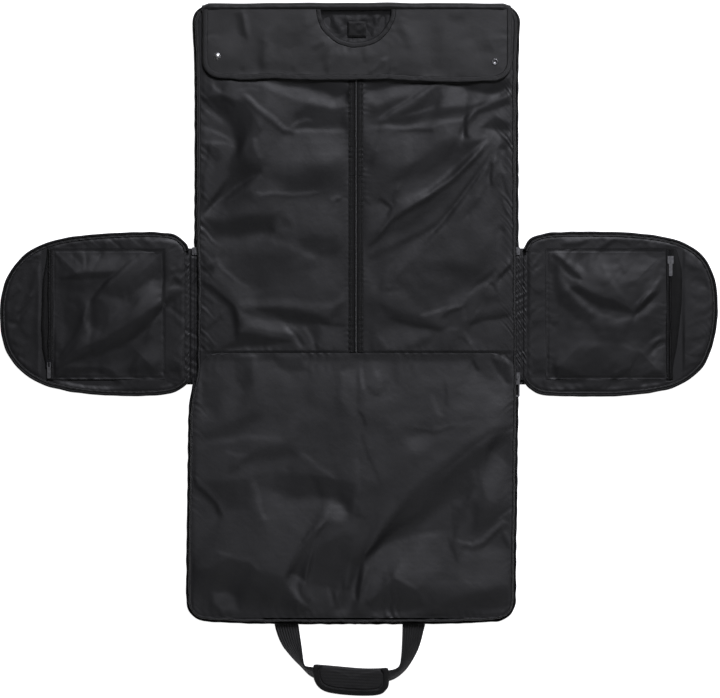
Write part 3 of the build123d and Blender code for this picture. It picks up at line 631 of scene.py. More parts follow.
UR_AREAS = [
    (-1.15, 5, [(2, 374), (30, 380), (60, 388), (92, 394), (134, 394), (160, 394), (184, 386), (198, 380), (222, 375), (246, 376), (264, 386), (264, 404), (2, 404)]),
    (0.50, 6, [(20, 366), (56, 384), (92, 391), (134, 392), (112, 374), (96, 372), (60, 366), (34, 354)]),
    (-0.35, 8, [(24, 352), (46, 352), (84, 370), (64, 352), (36, 334), (22, 334)]),
    (-0.42, 6, [(136, 388), (110, 364), (82, 344), (56, 336), (90, 338), (112, 344), (140, 352), (146, 372), (150, 386)]),
    (0.62, 5, [(150, 388), (182, 388), (190, 372), (184, 352), (160, 352), (140, 352), (147, 370)]),
    (-0.42, 6, [(188, 350), (140, 349), (88, 334), (40, 331), (26, 323), (86, 324), (118, 330), (150, 336), (182, 344)]),
    (0.34, 12, [(18, 311), (80, 309), (130, 306), (150, 300), (120, 276), (90, 256), (60, 250), (22, 270)]),
    (0.36, 5, [(150, 320), (180, 326), (184, 300), (176, 292), (164, 296)]),
    (-0.42, 12, [(128, 300), (160, 292), (186, 284), (160, 256), (132, 236), (96, 228), (60, 228), (80, 246), (110, 262)]),
    (-0.55, 5, [(168, 300), (196, 292), (216, 298), (228, 304), (206, 282), (182, 262), (160, 252), (164, 272)]),
    (-0.85, 4.5, [(186, 352), (214, 360), (262, 372), (263, 356), (236, 348), (206, 338), (196, 326), (190, 312), (186, 300), (182, 314), (182, 336)]),
    (0.30, 4, [(196, 302), (200, 322), (212, 330), (226, 314), (222, 300), (206, 296)]),
    (-0.85, 4.5, [(236, 336), (262, 324), (264, 310), (244, 312), (212, 318), (222, 324)]),
    (-0.75, 4, [(242, 282), (250, 296), (264, 304), (264, 290), (254, 278)]),
    (0.25, 8, [(250, 310), (230, 306), (234, 286), (248, 274)]),
    (0.42, 9, [(178, 252), (150, 232), (120, 212), (96, 206), (72, 196), (66, 176), (90, 184), (122, 198), (158, 222)]),
    (0.42, 7, [(22, 190), (40, 190), (60, 180), (68, 160), (50, 142), (22, 140)]),
    (-0.30, 10, [(200, 258), (176, 230), (140, 204), (100, 182), (70, 164), (40, 132), (60, 132), (100, 150), (150, 186), (188, 224)]),
    (-0.42, 6, [(178, 204), (150, 168), (120, 146), (84, 128), (44, 110), (22, 96), (22, 88), (56, 104), (100, 128), (136, 146)]),
    (0.50, 8, [(146, 152), (128, 124), (104, 100), (80, 82), (56, 58), (46, 44), (56, 80), (84, 110), (118, 136)]),
    (-0.40, 10, [(112, 88), (150, 94), (196, 84), (210, 70), (192, 58), (140, 66), (110, 70)]),
    (-0.18, 14, [(84, 50), (150, 62), (200, 58), (170, 36), (130, 14), (100, 18)]),
    (0.22, 12, [(240, 210), (246, 120), (226, 110), (200, 130), (186, 160), (212, 190)]),
    (0.34, 6, [(230, 166), (240, 160), (244, 132), (242, 108), (236, 108), (230, 132), (226, 150)]),
    (-0.55, 5, [(238, 76), (222, 68), (206, 58), (202, 50), (222, 58)]),
    (0.28, 7, [(226, 60), (186, 40), (160, 24), (150, 8), (186, 20), (220, 44)]),
    (0.28, 12, [(22, 66), (48, 44), (78, 40), (98, 16), (56, 24), (24, 30)]),
    (-0.50, 9, [(44, 14), (70, 4), (104, -4), (132, -16), (150, -28), (110, -20), (76, -13), (54, -2)]),
    (0.34, 10, [(36, -24), (84, -24), (118, -32), (100, -52), (60, -58), (36, -46)]),
    (-0.4, 6, [(88, -56), (112, -40), (128, -44), (112, -62)]),
    (-0.35, 7, [(215, 32), (240, 34), (244, 20), (222, 14)]),
    (-0.35, 8, [(186, -14), (226, -4), (264, 2), (264, 12), (234, 8), (204, 2)]),
]
UPPER_RIGHT = [
    (0.85, (3, 5), [(35, 328), (52, 341), (70, 352), (88, 362), (104, 372), (120, 382), (134, 391)]),
    (0.45, 2.8, [(84, 338), (110, 344), (140, 352)]),
    (0.80, (5.5, 3.6), [(17, 317), (48, 317), (86, 315), (106, 319), (146, 325), (180, 331), (200, 343), (230, 361), (262, 376)]),
    (-0.5, 3.4, [(70, 312), (100, 312), (134, 312)]),
    (-0.7, 3.6, [(190, 330), (184, 318), (187, 306), (194, 297)]),
    (0.7, (3.2, 5.5), [(232, 308), (216, 290), (200, 273), (185, 257), (166, 240), (142, 222), (120, 205), (96, 190)]),
    (-0.85, (5, 3), [(226, 290), (206, 266), (178, 238), (152, 216), (124, 198), (98, 182), (62, 160), (26, 116)]),
    (0.62, (5.5, 3.2), [(228, 268), (216, 246), (200, 222), (186, 202), (168, 178), (150, 158), (140, 145), (122, 124)]),
    (-0.50, (3, 6), [(222, 262), (204, 236), (186, 212), (170, 192), (152, 170)]),
    (-0.3, (5, 3), [(232, 262), (214, 234), (190, 200)]),
    (-0.8, 3.6, [(232, 258), (229, 238), (231, 216)]),
    (0.4, 3, [(226, 256), (222, 238), (224, 220)]),
    (0.75, 2.8, [(238, 268), (246, 252), (252, 238)]),
    (0.5, 2.6, [(240, 256), (248, 226), (254, 200)]),
    (-0.5, 2.8, [(244, 244), (252, 220), (260, 200)]),
    (-0.45, 2.8, [(246, 200), (252, 180), (262, 164)]),
    (0.45, 2.6, [(250, 196), (258, 178), (266, 166)]),
    (0.4, 3, [(216, 282), (212, 270), (204, 258)]),
    (0.4, 3, [(232, 312), (240, 304), (244, 296)]),
    (-0.4, 5, [(208, 200), (200, 184), (190, 168)]),
    (-1.1, 3.8, [(266, 86), (256, 76), (249, 68), (242, 60)]),
    (0.5, 3.4, [(232, 60), (222, 50), (232, 44)]),
    (0.4, 3, [(222, 52), (204, 42), (190, 32)]),
    (-0.55, 3, [(228, 54), (236, 48), (238, 38)]),
    (0.65, (3, 4), [(184, 15), (166, 12), (148, 8), (128, 2), (108, -3)]),
    (-0.65, (4.6, 2.6), [(184, 12), (170, 9), (156, 2), (146, -6)]),
    (0.6, 3.0, [(183, 12), (184, -2), (186, -14)]),
    (0.55, 3.0, [(206, 8), (200, -4), (194, -14)]),
    (-0.8, (4.5, 2.8), [(190, -17), (206, -13), (224, -8), (246, -4), (266, -2)]),
    (-0.75, (4.5, 2.8), [(56, -6), (84, -15), (110, -21), (130, -24), (148, -29)]),
    (0.7, 2.8, [(184, -28), (190, -40), (196, -51)]),
    (-0.4, 2.8, [(172, -38), (184, -44), (190, -52)]),
    (0.4, 3.2, [(176, -24), (156, -26), (148, -32)]),
    (-0.9, 3.0, [(39, 196), (50, 188), (61, 180)]),
    (0.45, 3.0, [(61, 176), (66, 186), (72, 196)]),
    (-0.45, 4.0, [(70, 212), (66, 198), (64, 186)]),
    (-0.7, 2.8, [(10, 196), (18, 191), (26, 186)]),
    (0.4, 3, [(24, 288), (30, 300), (36, 310)]),
    (-0.5, 4, [(18, 254), (28, 264), (36, 276)]),
    (-0.4, 3.2, [(20, 116), (30, 126), (40, 134)]),
    (0.4, 3.0, [(54, 44), (60, 50), (72, 48)]),
    (-0.35, 4, [(40, 42), (56, 42), (66, 52)]),
    (0.35, 3.2, [(38, -34), (48, -48), (56, -60)]),
    (-0.5, 4, [(250, 154), (246, 146), (252, 138)]),
]
LO_AREAS = [
    (-0.38, 6, [(-206, -74), (-176, -74), (-172, -120), (-190, -130), (-206, -116)]),
    (-0.38, 6, [(-140, -76), (-96, -78), (-84, -98), (-112, -99), (-134, -90)]),
    (0.36, 5, [(-24, -100), (-14, -90), (0, -92), (2, -178), (-8, -172), (-20, -158), (-27, -134)]),
    (0.30, 14, [(4, -76), (196, -76), (222, -128), (200, -166), (100, -186), (60, -196), (6, -160)]),
    (-0.3, 7, [(60, -78), (76, -80), (72, -118), (60, -110)]),
    (-1.0, 4, [(232, -78), (252, -82), (272, -92), (272, -120), (256, -115), (240, -97)]),
    (-0.3, 7, [(198, -76), (228, -82), (246, -116), (222, -112), (206, -98)]),
    (-0.35, 9, [(-266, -204), (-240, -196), (-206, -184), (-176, -164), (-160, -170), (-186, -194), (-220, -210), (-256, -212)]),
    (0.32, 7, [(-270, -158), (-240, -164), (-240, -182), (-262, -188)]),
    (0.20, 12, [(0, -200), (60, -206), (150, -206), (100, -240), (80, -260), (40, -292), (4, -296)]),
    (0.26, 8, [(84, -206), (122, -202), (136, -216), (110, -240), (86, -232)]),
    (-0.34, 8, [(-216, -268), (-180, -252), (-132, -246), (-96, -238), (-110, -224), (-150, -226), (-190, -242)]),
    (-0.38, 9, [(-252, -286), (-182, -282), (-180, -330), (-220, -330), (-240, -306)]),
    (-0.34, 8, [(-140, -272), (-70, -272), (-58, -306), (-100, -312), (-140, -298)]),
    (-0.55, 7, [(-74, -276), (-34, -278), (-2, -290), (0, -344), (-12, -346), (-16, -324), (-36, -312), (-62, -312)]),
    (0.24, 8, [(-172, -280), (-158, -296), (-120, -312), (-50, -318), (-24, -322), (-14, -340), (-22, -356), (-46, -356), (-60, -364), (-90, -394), (-114, -430), (-130, -440), (-172, -420), (-148, -394), (-150, -372), (-166, -330)]),
    (0.36, 5, [(-44, -318), (-26, -322), (-15, -338), (-22, -354), (-42, -350), (-56, -340)]),
    (-0.95, 4, [(-49, -355), (-72, -367), (-88, -388), (-104, -412), (-113, -438), (-101, -441), (-85, -456), (-80, -430), (-74, -400), (-67, -381)]),
    (-0.45, 7, [(-72, -402), (-50, -386), (-20, -372), (-2, -376), (-6, -420), (-20, -440), (-12, -468), (-44, -468), (-78, -458)]),
    (-0.95, 6, [(-284, -436), (-244, -430), (-232, -420), (-210, -414), (-180, -420), (-164, -435), (-130, -446), (-116, -462), (-106, -482), (-80, -502), (-100, -518), (-284, -518)]),
    (0.85, 6, [(-244, -474), (-220, -470), (-206, -484), (-200, -504), (-226, -506), (-242, -490)]),
    (-0.55, 8, [(272, -186), (240, -193), (204, -210), (174, -234), (134, -262), (104, -290), (78, -320), (56, -350), (32, -375), (11, -400), (0, -425), (-5, -446), (1, -476), (7, -450), (16, -425), (32, -404), (62, -389), (92, -371),
                (122, -350), (142, -331), (166, -316), (190, -310), (210, -270), (222, -235), (268, -214)]),
    (-0.55, 8, [(106, -334), (66, -362), (32, -384), (10, -410), (0, -446), (6, -450), (16, -418), (42, -394), (82, -374), (116, -350)]),
    (-0.22, 14, [(204, -212), (150, -252), (112, -290), (96, -330), (128, -344), (166, -314), (206, -290), (224, -232)]),
    (0.42, 5, [(226, -230), (246, -240), (260, -256), (256, -300), (240, -326), (224, -318), (214, -292), (210, -276)]),
    (-0.32, 4, [(160, -320), (178, -330), (192, -318), (176, -356), (166, -376), (162, -344)]),
    (-0.26, 8, [(200, -320), (236, -336), (262, -320), (266, -340), (236, -352), (214, -372), (196, -374), (200, -344)]),
    (0.34, 5, [(168, -372), (184, -352), (190, -330), (200, -344), (196, -372), (188, -388)]),
    (0.32, 10, [(26, -428), (38, -406), (72, -390), (122, -378), (160, -376), (186, -396), (256, -396), (264, -430), (250, -454), (200, -468), (130, -468), (100, -454), (60, -444)]),
    (-0.62, 5, [(60, -446), (86, -458), (106, -470), (116, -496), (90, -506), (28, -506), (18, -492), (44, -462)]),
    (-0.70, 7, [(118, -517), (140, -500), (164, -484), (200, -474), (264, -460), (270, -500), (262, -517)]),
    (0.4, 6, [(196, -500), (260, -498), (250, -510), (200, -510)]),
    (0.26, 5, [(22, -430), (50, -444), (44, -462), (20, -488), (12, -480), (18, -450)]),
]
LOWER = [
    (-1.0, (3.5, 6), [(-284, -272), (-272, -291), (-252, -309), (-237, -325), (-228, -346)]),
    (0.45, (3, 7), [(-172, -282), (-166, -306), (-160, -330), (-152, -352)]),
    (0.55, (3, 5), [(-160, -436), (-184, -418), (-212, -412), (-240, -402)]),
    (0.65, 3.2, [(-64, -378), (-72, -396), (-78, -420), (-82, -440), (-85, -456), (-80, -470), (-70, -490)]),
    (0.50, (3, 5), [(-116, -446), (-108, -466), (-94, -484), (-78, -500)]),
    (-0.4, 4, [(-98, -456), (-92, -474), (-78, -492)]),
    (0.35, (6, 3), [(-50, -350), (-74, -364), (-92, -386), (-108, -412), (-118, -440)]),
    (0.55, (3.6, 7), [(22, -428), (34, -405), (52, -394), (78, -385), (118, -374), (156, -370)]),
    (0.60, 3.2, [(22, -424), (16, -446), (10, -470), (6, -494)]),
    (0.45, 2.8, [(30, -420), (20, -450), (14, -480), (10, -498)]),
    (-0.8, (3, 4.5), [(34, -392), (16, -412), (6, -436), (4, -462), (2, -490)]),
    (0.45, (6, 3), [(-10, -420), (-12, -450), (-4, -478), (4, -500)]),
    (0.5, 3.4, [(60, -444), (50, -458), (34, -474), (20, -490)]),
    (0.45, (4, 3), [(64, -448), (86, -456), (106, -468)]),
    (-0.35, 3.4, [(156, -378), (166, -400), (172, -424)]),
    (0.5, 3.6, [(164, -378), (180, -388), (198, -392), (214, -384), (232, -364), (248, -352), (262, -356)]),
    (-0.4, (3, 4), [(176, -394), (198, -400), (220, -390), (240, -370), (256, -362)]),
    (-0.4, 3.6, [(246, -376), (256, -390), (264, -402)]),
    (0.4, 3.6, [(252, -364), (260, -382), (266, -396)]),
    (0.45, 3.2, [(240, -348), (256, -338), (266, -334)]),
    (-0.5, 3.2, [(6, -166), (12, -176), (16, -190)]),
    (0.35, (3, 8), [(3, -240), (4, -290), (2, -330)]),
    (-0.35, (4, 3), [(3, -300), (3, -330), (2, -350)]),
    (-0.4, 3, [(2, -340), (12, -346), (20, -344)]),
    (-0.3, (3, 4), [(10, -200), (22, -240), (38, -276), (46, -294)]),
    (0.25, 4, [(90, -190), (130, -196), (170, -186), (206, -184)]),
    (-0.3, 4, [(96, -196), (136, -200), (170, -192)]),
    (-0.8, 3.0, [(198, -78), (203, -88), (208, -96)]),
    (0.6, 3.4, [(-268, -84), (-266, -120), (-266, -156)]),
    (0.35, (5, 3), [(266, -196), (234, -204), (206, -222), (176, -246), (146, -274)]),
    (0.3, 5, [(130, -134), (136, -160), (146, -176)]),
    (-0.3, 4, [(150, -116), (154, -136), (152, -156)]),
    (0.3, 4, [(34, -96), (42, -110), (40, -128)]),
    (-0.3, 4, [(18, -120), (28, -134), (40, -138)]),
    (0.5, 4, [(10, -90), (10, -112), (12, -130)]),
    (0.3, 4.5, [(-220, -232), (-200, -242), (-182, -240)]),
    (-0.45, 4, [(-40, -470), (-34, -486), (-30, -502)]),
    (0.4, 4, [(-52, -462), (-44, -480), (-40, -500)]),
    (-0.45, 4, [(-16, -462), (-20, -480), (-22, -500)]),
    (0.4, 4, [(-26, -458), (-28, -478), (-30, -494)]),
    (0.35, 4, [(-100, -232), (-60, -262), (-30, -282)]),
    (0.3, 6, [(-254, -218), (-180, -208), (-120, -214)]),
    (0.3, 6, [(196, -262), (206, -290), (200, -316)]),
]
relief_ul = Relief(-272, -10, -70, 410, UPPER_LEFT, slope=0.245, seed=11, grain=0.10, cap=8.0, grain_low=22, grain_high=80, wide=0.06, areas=UL_AREAS)
relief_ur = Relief(10, 272, -70, 410, UPPER_RIGHT, slope=0.25, seed=23, grain=0.10, cap=8.0, grain_low=22, grain_high=80, wide=0.05, areas=UR_AREAS)
relief_lo = Relief(-282, 272, -520, -64, LOWER, slope=0.30, seed=37, grain=0.10, cap=8.0, grain_low=22, grain_high=80, wide=0.05, areas=LO_AREAS)

relief_ul = relief_ul.pinned(-264, -11.5, -66, 420)
relief_ur = relief_ur.pinned(11.5, 266, -66, 420)
relief_lo = relief_lo.pinned(-278, 266, -515, -67)


def seam_fade(d, w):
    return smooth(np.asarray(d) / w)


def pucker(s, d, seed, low, high, amp, decay):
    """Puckers that a sewn line draws into the cloth: s along the seam, d away from it."""
    a = run1d(s + 2.0 * np.sin(d / 5.0 + seed), low, high, seed)
    patch = 0.25 + 0.75 * smooth(0.5 + 0.9 * run1d(s, 60, 170, seed + 777))
    reach = decay * (0.6 + 0.8 * smooth(0.5 + run1d(s, 30, 90, seed + 778)))
    return 0.55 * amp * patch * np.sign(a) * np.abs(a) ** 0.9 * np.exp(-np.asarray(d) / reach) * smooth(np.asarray(d) / 2.5)


# the bag lies a little skewed: the outline's distance from the middle on the two sides
LEFT_SIDE = np.array([(-560, 288), (-486, 289.5), (-400, 289), (-316, 287.5), (-230, 286.5), (-180, 286), (-135, 283.5), (-118, 277), (-108, 274), (92, 273.5), (104, 276), (140, 275.5), (250, 275), (370, 275), (420, 275.5), (466, 277), (495, 279.5), (560, 279.5)], float)
RIGHT_SIDE = np.array([(-560, 271), (-486, 272.5), (-400, 273), (-316, 275), (-230, 275.5), (-180, 276.5), (-118, 277.5), (100, 277.5), (140, 277), (330, 276.5), (400, 276.5), (466, 278), (500, 280), (560, 280)], float)


def side_at(sx, y):
    t_ = LEFT_SIDE if sx < 0 else RIGHT_SIDE
    k_ = np.array([-22.0, -11.0, 0.0, 11.0, 22.0])
    return sum(np.interp(np.asarray(y, float) + d_, t_[:, 0], t_[:, 1]) for d_ in k_) / 5.0


EDGE_X = 258.5          # the cloth runs in under the binding here
ZIP_X = 11.0            # and is sewn to the zip tape here
UPPER_IN = 9.5          # the cloth's edge, in from the bag's outline
LOWER_IN = 7.5
LIFT = COVER_Z + 0.1


def upper_height(x, y, left):
    ax = np.abs(x)
    rel = (relief_ul if left else relief_ur)(x, y)
    e = side_at(-1 if left else 1, y) - UPPER_IN - ax
    c = ax - ZIP_X
    b = np.maximum(y - HEM_Y, 0)
    fade = seam_fade(e, 6) * seam_fade(c, 5) * seam_fade(b + 3, 6)
    under = 1 - 0.72 * smooth((y - (FLAP_B - 6)) / 22)
    h = rel * fade * under
    sd = 3 if left else 9
    h = h + pucker(y + (0.9 if left else -1.3) * e, e, sd, 12 if left else 8, 28 if left else 18, 1.0 if left else 0.75, 9) * (0.35 + 0.65 * under)
    h = h + pucker(y, c, sd + 1, 8.4, 10.2, 0.55, 5.0) * (0.3 + 0.7 * under)
    h = h + pucker(x, b, sd + 2, 11, 30, 0.5, 9)
    h = h + 0.035 * waves(x, y, 9, 26, sd + 30, 26) * smooth(e / 10) * smooth(c / 8)
    h = h - 0.7 * (1 - smooth(e / 9)) - 0.25 * (1 - smooth(c / 6)) - 0.3 * (1 - smooth(b / 4))
    # puffed a little between the seams
    h = h + 1.5 * smooth(e / 60) * smooth(c / 50) * under
    # it runs on under the edge of the lower cover
    k = smooth((HEM_Y + 3 - y) / 5)
    return h * (1 - k) + np.minimum(h, np.minimum(lower_height(x, np.minimum(y, HEM_Y)), 0.6) - 1.5) * k


LOW_B = -516.5


def lower_corner(x, y):
    """Distance in from the lower cover's outline, with its rounded corners (mm)."""
    top, bot = HEM_Y, LOW_B
    hx = np.where(x < 0, side_at(-1, y), side_at(1, y)) - LOWER_IN
    r = np.where(y > (top + bot) / 2, 34.0, 24.0)
    cy, hy = (top + bot) / 2, (top - bot) / 2
    qx, qy = np.abs(x) - (hx - r), np.abs(y - cy) - (hy - r)
    out = np.hypot(np.maximum(qx, 0), np.maximum(qy, 0)) + np.minimum(np.maximum(qx, qy), 0) - r
    return -out


def lower_height(x, y):
    ax = np.abs(x)
    d = np.maximum(lower_corner(x, y), 0)
    e = np.where(x < 0, side_at(-1, y), side_at(1, y)) - LOWER_IN - ax
    t = HEM_Y - y
    b = y - LOW_B
    rel = relief_lo(x, y)
    h = rel * seam_fade(d, 6)
    h = h + pucker(y + 0.8 * e, e, 15, 10, 24, 0.5, 8) + pucker(x, t, 16, 12, 30, 0.75, 12) + pucker(x, b, 17, 11, 24, 0.8, 12)
    h = h + 0.035 * waves(x, y, 9, 26, 61, 26) * smooth(d / 10)
    h = h - 0.55 * (1 - smooth(d / 8)) * smooth((HEM_Y - y) / 30) + 1.6 * smooth(d / 60) + 0.9 * (1 - smooth((HEM_Y - y) / 16))
    return h


def rounded_rows(n, u):
    return u


def make_cover_sheet(name, xs, ys, height, mat, bodies, z=LIFT, thick=0.55, xy=None):
    """A cover as a grid over x and y. bodies: [(name, y from, y to, how it is attached), ...]"""
    X, Y = np.meshgrid(xs, ys, indexing="ij") if xy is None else xy
    P = np.stack([X, Y, z + height(X, Y)], -1)
    # rows run along Y, so that a cut is a row
    P = np.swapaxes(P, 0, 1)
    N = grid_normals(P)
    N = np.where((N[..., 2:3] < 0), -N, N)
    yy = P[:, P.shape[1] // 2, 1]
    made = []
    for nm, y0, y1, how in bodies:
        idx = np.where((yy >= y0 - 1e-6) & (yy <= y1 + 1e-6))[0]
        a, b = idx.min(), idx.max() + 1
        p = P[a:b]
        nn = N[a:b]
        V, Nn = p.reshape(-1, 3), nn.reshape(-1, 3)
        F = grid_faces(p.shape[0], p.shape[1])
        # make sure the faces look up
        v = V[F[0]]
        if np.cross(v[1] - v[0], v[2] - v[0])[2] < 0:
            F = F[:, ::-1]
        V2, F2, _ = thicken(V, F, Nn, thick)
        ob = quads_mesh(nm, V2, F2, mat, vn=np.concatenate([Nn, -Nn]))
        flat = V[:, :2]
        set_flat(ob, np.concatenate([flat, flat]))
        made.append((ob, how, (float(p[..., 0].max() - p[..., 0].min()), y1 - y0)))
    return made


def attach(ob, how):
    """how: a body name, and the piece is parented to that body; or (body a, body b, start y, end y), with start and end
    as y values or points, and then the piece's transform is only baked in.
    """
    if isinstance(how, str):
        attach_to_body(ob, how)
    else:
        a, b, s, e = how
        s = (0, s * MM, 0) if np.isscalar(s) else tuple(c * MM for c in s)
        e = (0, e * MM, 0) if np.isscalar(e) else tuple(c * MM for c in e)
        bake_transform(ob)


B1 = 30.0       # half lengths of the bends at the two folds
B2 = 34.0
UP1 = ("base", "upper_wall", F1 - B1, F1 + B1)
UP2 = ("upper_wall", "upper_roof", F2 - B2, F2 + B2)
LO1 = ("base", "lower_wall", -(F1 - B1), -(F1 + B1))
LO2 = ("lower_wall", "lower_roof", -(F2 - B2), -(F2 + B2))


def axis_points(a, b, step, must=()):
    """Points from a to b about step apart that hit every value in must."""
    marks = sorted({a, b, *[m for m in must if min(a, b) < m < max(a, b)]})
    out = [marks[0]]
    for p, q in zip(marks[:-1], marks[1:]):
        n = max(int(round((q - p) / step)), 1)
        out += list(np.linspace(p, q, n + 1)[1:])
    return np.array(out)


for left in (True, False):
    sgn = -1 if left else 1
    side = "left" if left else "right"
    top_y = 512.0
    us = axis_points(0.0, 1.0, 0.0080)
    ys = axis_points(HEM_Y - 42.0, top_y, 2.05, (MID,))
    U, Y = np.meshgrid(us if sgn > 0 else us[::-1], ys, indexing="ij")
    X = sgn * (ZIP_X + U * (side_at(sgn, Y) - UPPER_IN - ZIP_X))
    xs = np.array([0.0, EDGE_X])
    made = make_cover_sheet(f"cover_{side}", xs, ys, lambda x, y, l=left: upper_height(x, y, l), M["cover"], [
        (f"cover_{side}_front", HEM_Y - 42.0, MID, UP1), (f"cover_{side}_back", MID, top_y, UP2)], xy=(X, Y))
    for ob, how, (w, l) in made:
        attach(ob, how)
    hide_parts(f"base_cover_{side}", f"upper_wall_cover_{side}")
    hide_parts(f"upper_roof_cover_{side}")

# the lower cover: one grid pulled in to the rounded outline
xs = axis_points(-1.0, 1.0, 0.0076, (0.0,))
ys = axis_points(LOW_B, HEM_Y, 2.05, (-MID,))


def pull_in(U, Y):
    """Spread the grid's rows over the outline's width, drawn in at the rounded corners."""
    r1, r2 = 34.0, 24.0
    full = np.where(U < 0, side_at(-1, Y), side_at(1, Y)) - LOWER_IN
    u = np.clip((Y - (HEM_Y - r1)) / r1, 0, 1)
    cut = r1 - r1 * np.sqrt(np.clip(1 - u ** 2, 0, 1))
    u2 = np.clip((LOW_B + r2 - Y) / r2, 0, 1)
    cut = cut + r2 - r2 * np.sqrt(np.clip(1 - u2 ** 2, 0, 1))
    au = np.abs(U)
    k = smooth((au - 0.7) / 0.3)
    return np.sign(U) * (au * full - cut * au * k), Y


X, Y = np.meshgrid(xs, ys, indexing="ij")
X, Y = pull_in(X, Y)
made = make_cover_sheet("cover_lower", xs, ys, lower_height, M["cover_lower"], [
    ("cover_lower_front", -MID, HEM_Y, LO1), ("cover_lower_back", LOW_B, -MID, LO2)], xy=(X, Y))
for ob, how, (w, l) in made:
    attach(ob, how)
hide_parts("base_cover_lower", "lower_wall_cover")
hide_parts("lower_roof_cover")


# ------------------------------------------------------------------ flat pieces: shell, lining
def slab(name, x0, x1, y0, y1, z0, z1, mat, cut=(), round_edge=2.2, seed=5, amp=0.35, step=7.0, bulge=0.0, corner=0.0, corner_end=0):
    """A closed sheet or pad with softened edges, as a sweep of a rounded section along X, from y0 to y1."""
    ys_ = axis_points(y0, y1, step, cut)
    n = 30
    u = np.linspace(-1, 1, n)
    u = np.sign(u) * np.abs(u) ** 0.7
    xs_ = (x0 + x1) / 2 + u * (x1 - x0) / 2
    T = (z1 - z0)
    edge = np.clip((1 - np.abs(u)) * (x1 - x0) / 2 / round_edge, 0, 1)
    sec = np.sqrt(np.clip(1 - (1 - edge) ** 2, 0, 1))
    top = np.stack([xs_, z0 + T / 2 + T / 2 * sec], -1)
    bot = np.stack([xs_[::-1], z0 + T / 2 - T / 2 * sec[::-1]], -1)
    ring = np.concatenate([top[1:-1], bot])          # ends shared
    P = np.zeros((len(ys_), len(ring), 3))
    for i, y in enumerate(ys_):
        P[i, :, 0] = ring[:, 0]
        P[i, :, 1] = y
        P[i, :, 2] = ring[:, 1]
        if corner and corner_end:
            d = (y1 - y) if corner_end > 0 else (y - y0)
            if d < corner:
                k = corner - math.sqrt(max(corner ** 2 - (corner - d) ** 2, 0))
                c = (x0 + x1) / 2
                half = (x1 - x0) / 2
                P[i, :, 0] = c + (P[i, :, 0] - c) * (half - k) / half
    yq = P[:, 0, 1]
    lw = (side_at(-1, yq) - 3.0) / (-x0)
    rw = (side_at(1, yq) - 3.0) / x1
    P[..., 0] = np.where(P[..., 0] < 0, P[..., 0] * lw[:, None], P[..., 0] * rw[:, None])
    w = waves(P[..., 0], P[..., 1], 25, 90, seed, 20) * amp
    up = (P[..., 2] - z0) / T
    P[..., 2] += w * (up - 0.5) * 2 * 0.5 + np.abs(w) * 0.5
    P[..., 2] = np.maximum(P[..., 2], 0.05)
    m = len(ring)
    F = grid_faces(len(ys_), m, True)
    F = capped(P.reshape(-1, 3), F, (len(ys_), m))
    V = P.reshape(-1, 3)
    q = V[F[0]]
    ob = quads_mesh(name, V, F[:, ::-1] if False else F, mat)
    bm_fix(ob)
    flat_own(ob)
    return ob


def bm_fix(ob):
    import bmesh
    bm = bmesh.new()
    bm.from_mesh(ob.data)
    bmesh.ops.recalc_face_normals(bm, faces=bm.faces)
    bm.to_mesh(ob.data)
    bm.free()


shell_cuts = [("shell_front_up", 0.0, MID, UP1, ["base_shell", "upper_wall_shell"], 0),
              ("shell_back_up", MID, 525.0, UP2, ["upper_roof_shell"], 1),
              ("shell_front_low", -MID, 0.0, LO1, ["lower_wall_shell"], 0),
              ("shell_back_low", -523.5, -MID, LO2, ["lower_roof_shell"], -1)]
for nm, y0, y1, how, reps, ce in shell_cuts:
    ob = slab(nm, -276.5, 276.5, y0, y1, 0.3, 5.4, M["shell"], step=6.0, seed=7, corner=(26.0 if ce > 0 else 33.0) if ce else 0, corner_end=ce)
    attach(ob, how)
    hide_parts(*reps)

for nm, y0, y1, how, reps in [("lining_front", 0.0, MID, UP1, ["base_lining", "upper_wall_lining"]),
                              ("lining_back", MID, 512.0, UP2, ["upper_roof_lining"]),
                              ("lining_front_low", -MID, 0.0, LO1, ["lower_wall_lining"]),
                              ("lining_back_low", -512.0, -MID, LO2, ["lower_roof_lining"])]:
    xs_ = axis_points(-257.0, 257.0, 6.0)
    ys_ = axis_points(y0, y1, 6.0)
    X, Y = np.meshgrid(ys_, xs_, indexing="ij")[::-1]
    Z = 8.0 + 0.8 * waves(X, Y, 30, 120, 77, 20) + 0.3 * waves(X, Y, 12, 30, 78, 20)
    P = np.stack([X, Y, Z], -1)
    N = grid_normals(P)
    N = np.where(N[..., 2:3] < 0, -N, N)
    F = grid_faces(*X.shape)
    v = P.reshape(-1, 3)[F[0]]
    if np.cross(v[1] - v[0], v[2] - v[0])[2] < 0:
        F = F[:, ::-1]
    V2, F2, _ = thicken(P.reshape(-1, 3), F, N.reshape(-1, 3), 0.4)
    ob = quads_mesh(nm, V2, F2, M["lining"])
    flat_own(ob)
    attach(ob, how)
    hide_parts(*reps)


# ------------------------------------------------------------------ the edge: piping, zip and binding
def edge_path(sx, sy, y_from, step=1.0, bow=0.0, edge_y=524.0, r=28.0):
    """The outer piping's line on one side (sx), round the corner and along the end (sy) to the middle."""
    yc = edge_y - r
    ex = float(side_at(sx, sy * yc)) - 2.4
    ys_ = np.arange(y_from, yc, 2.0)
    pts = [(sx * (float(side_at(sx, sy * y)) - 2.4), sy * y, 0) for y in ys_]
    for t in np.linspace(0, math.pi / 2, 16):
        pts.append((sx * (ex - r + r * math.cos(t)), sy * (yc + r * math.sin(t)), 0))
    for q in np.linspace(ex - r, 0.0, 40)[1:]:
        pts.append((sx * q, sy * (edge_y + bow * (1 - (q / (ex - r)) ** 4)), 0))
    return resample(pts, step)


def straight(sx, sy, y0, y1, step=1.0):
    ys_ = np.arange(y0, y1 + 0.01, 1.0)
    return resample([(sx * (float(side_at(sx, sy * y)) - 2.4), sy * y, 0) for y in ys_], step)


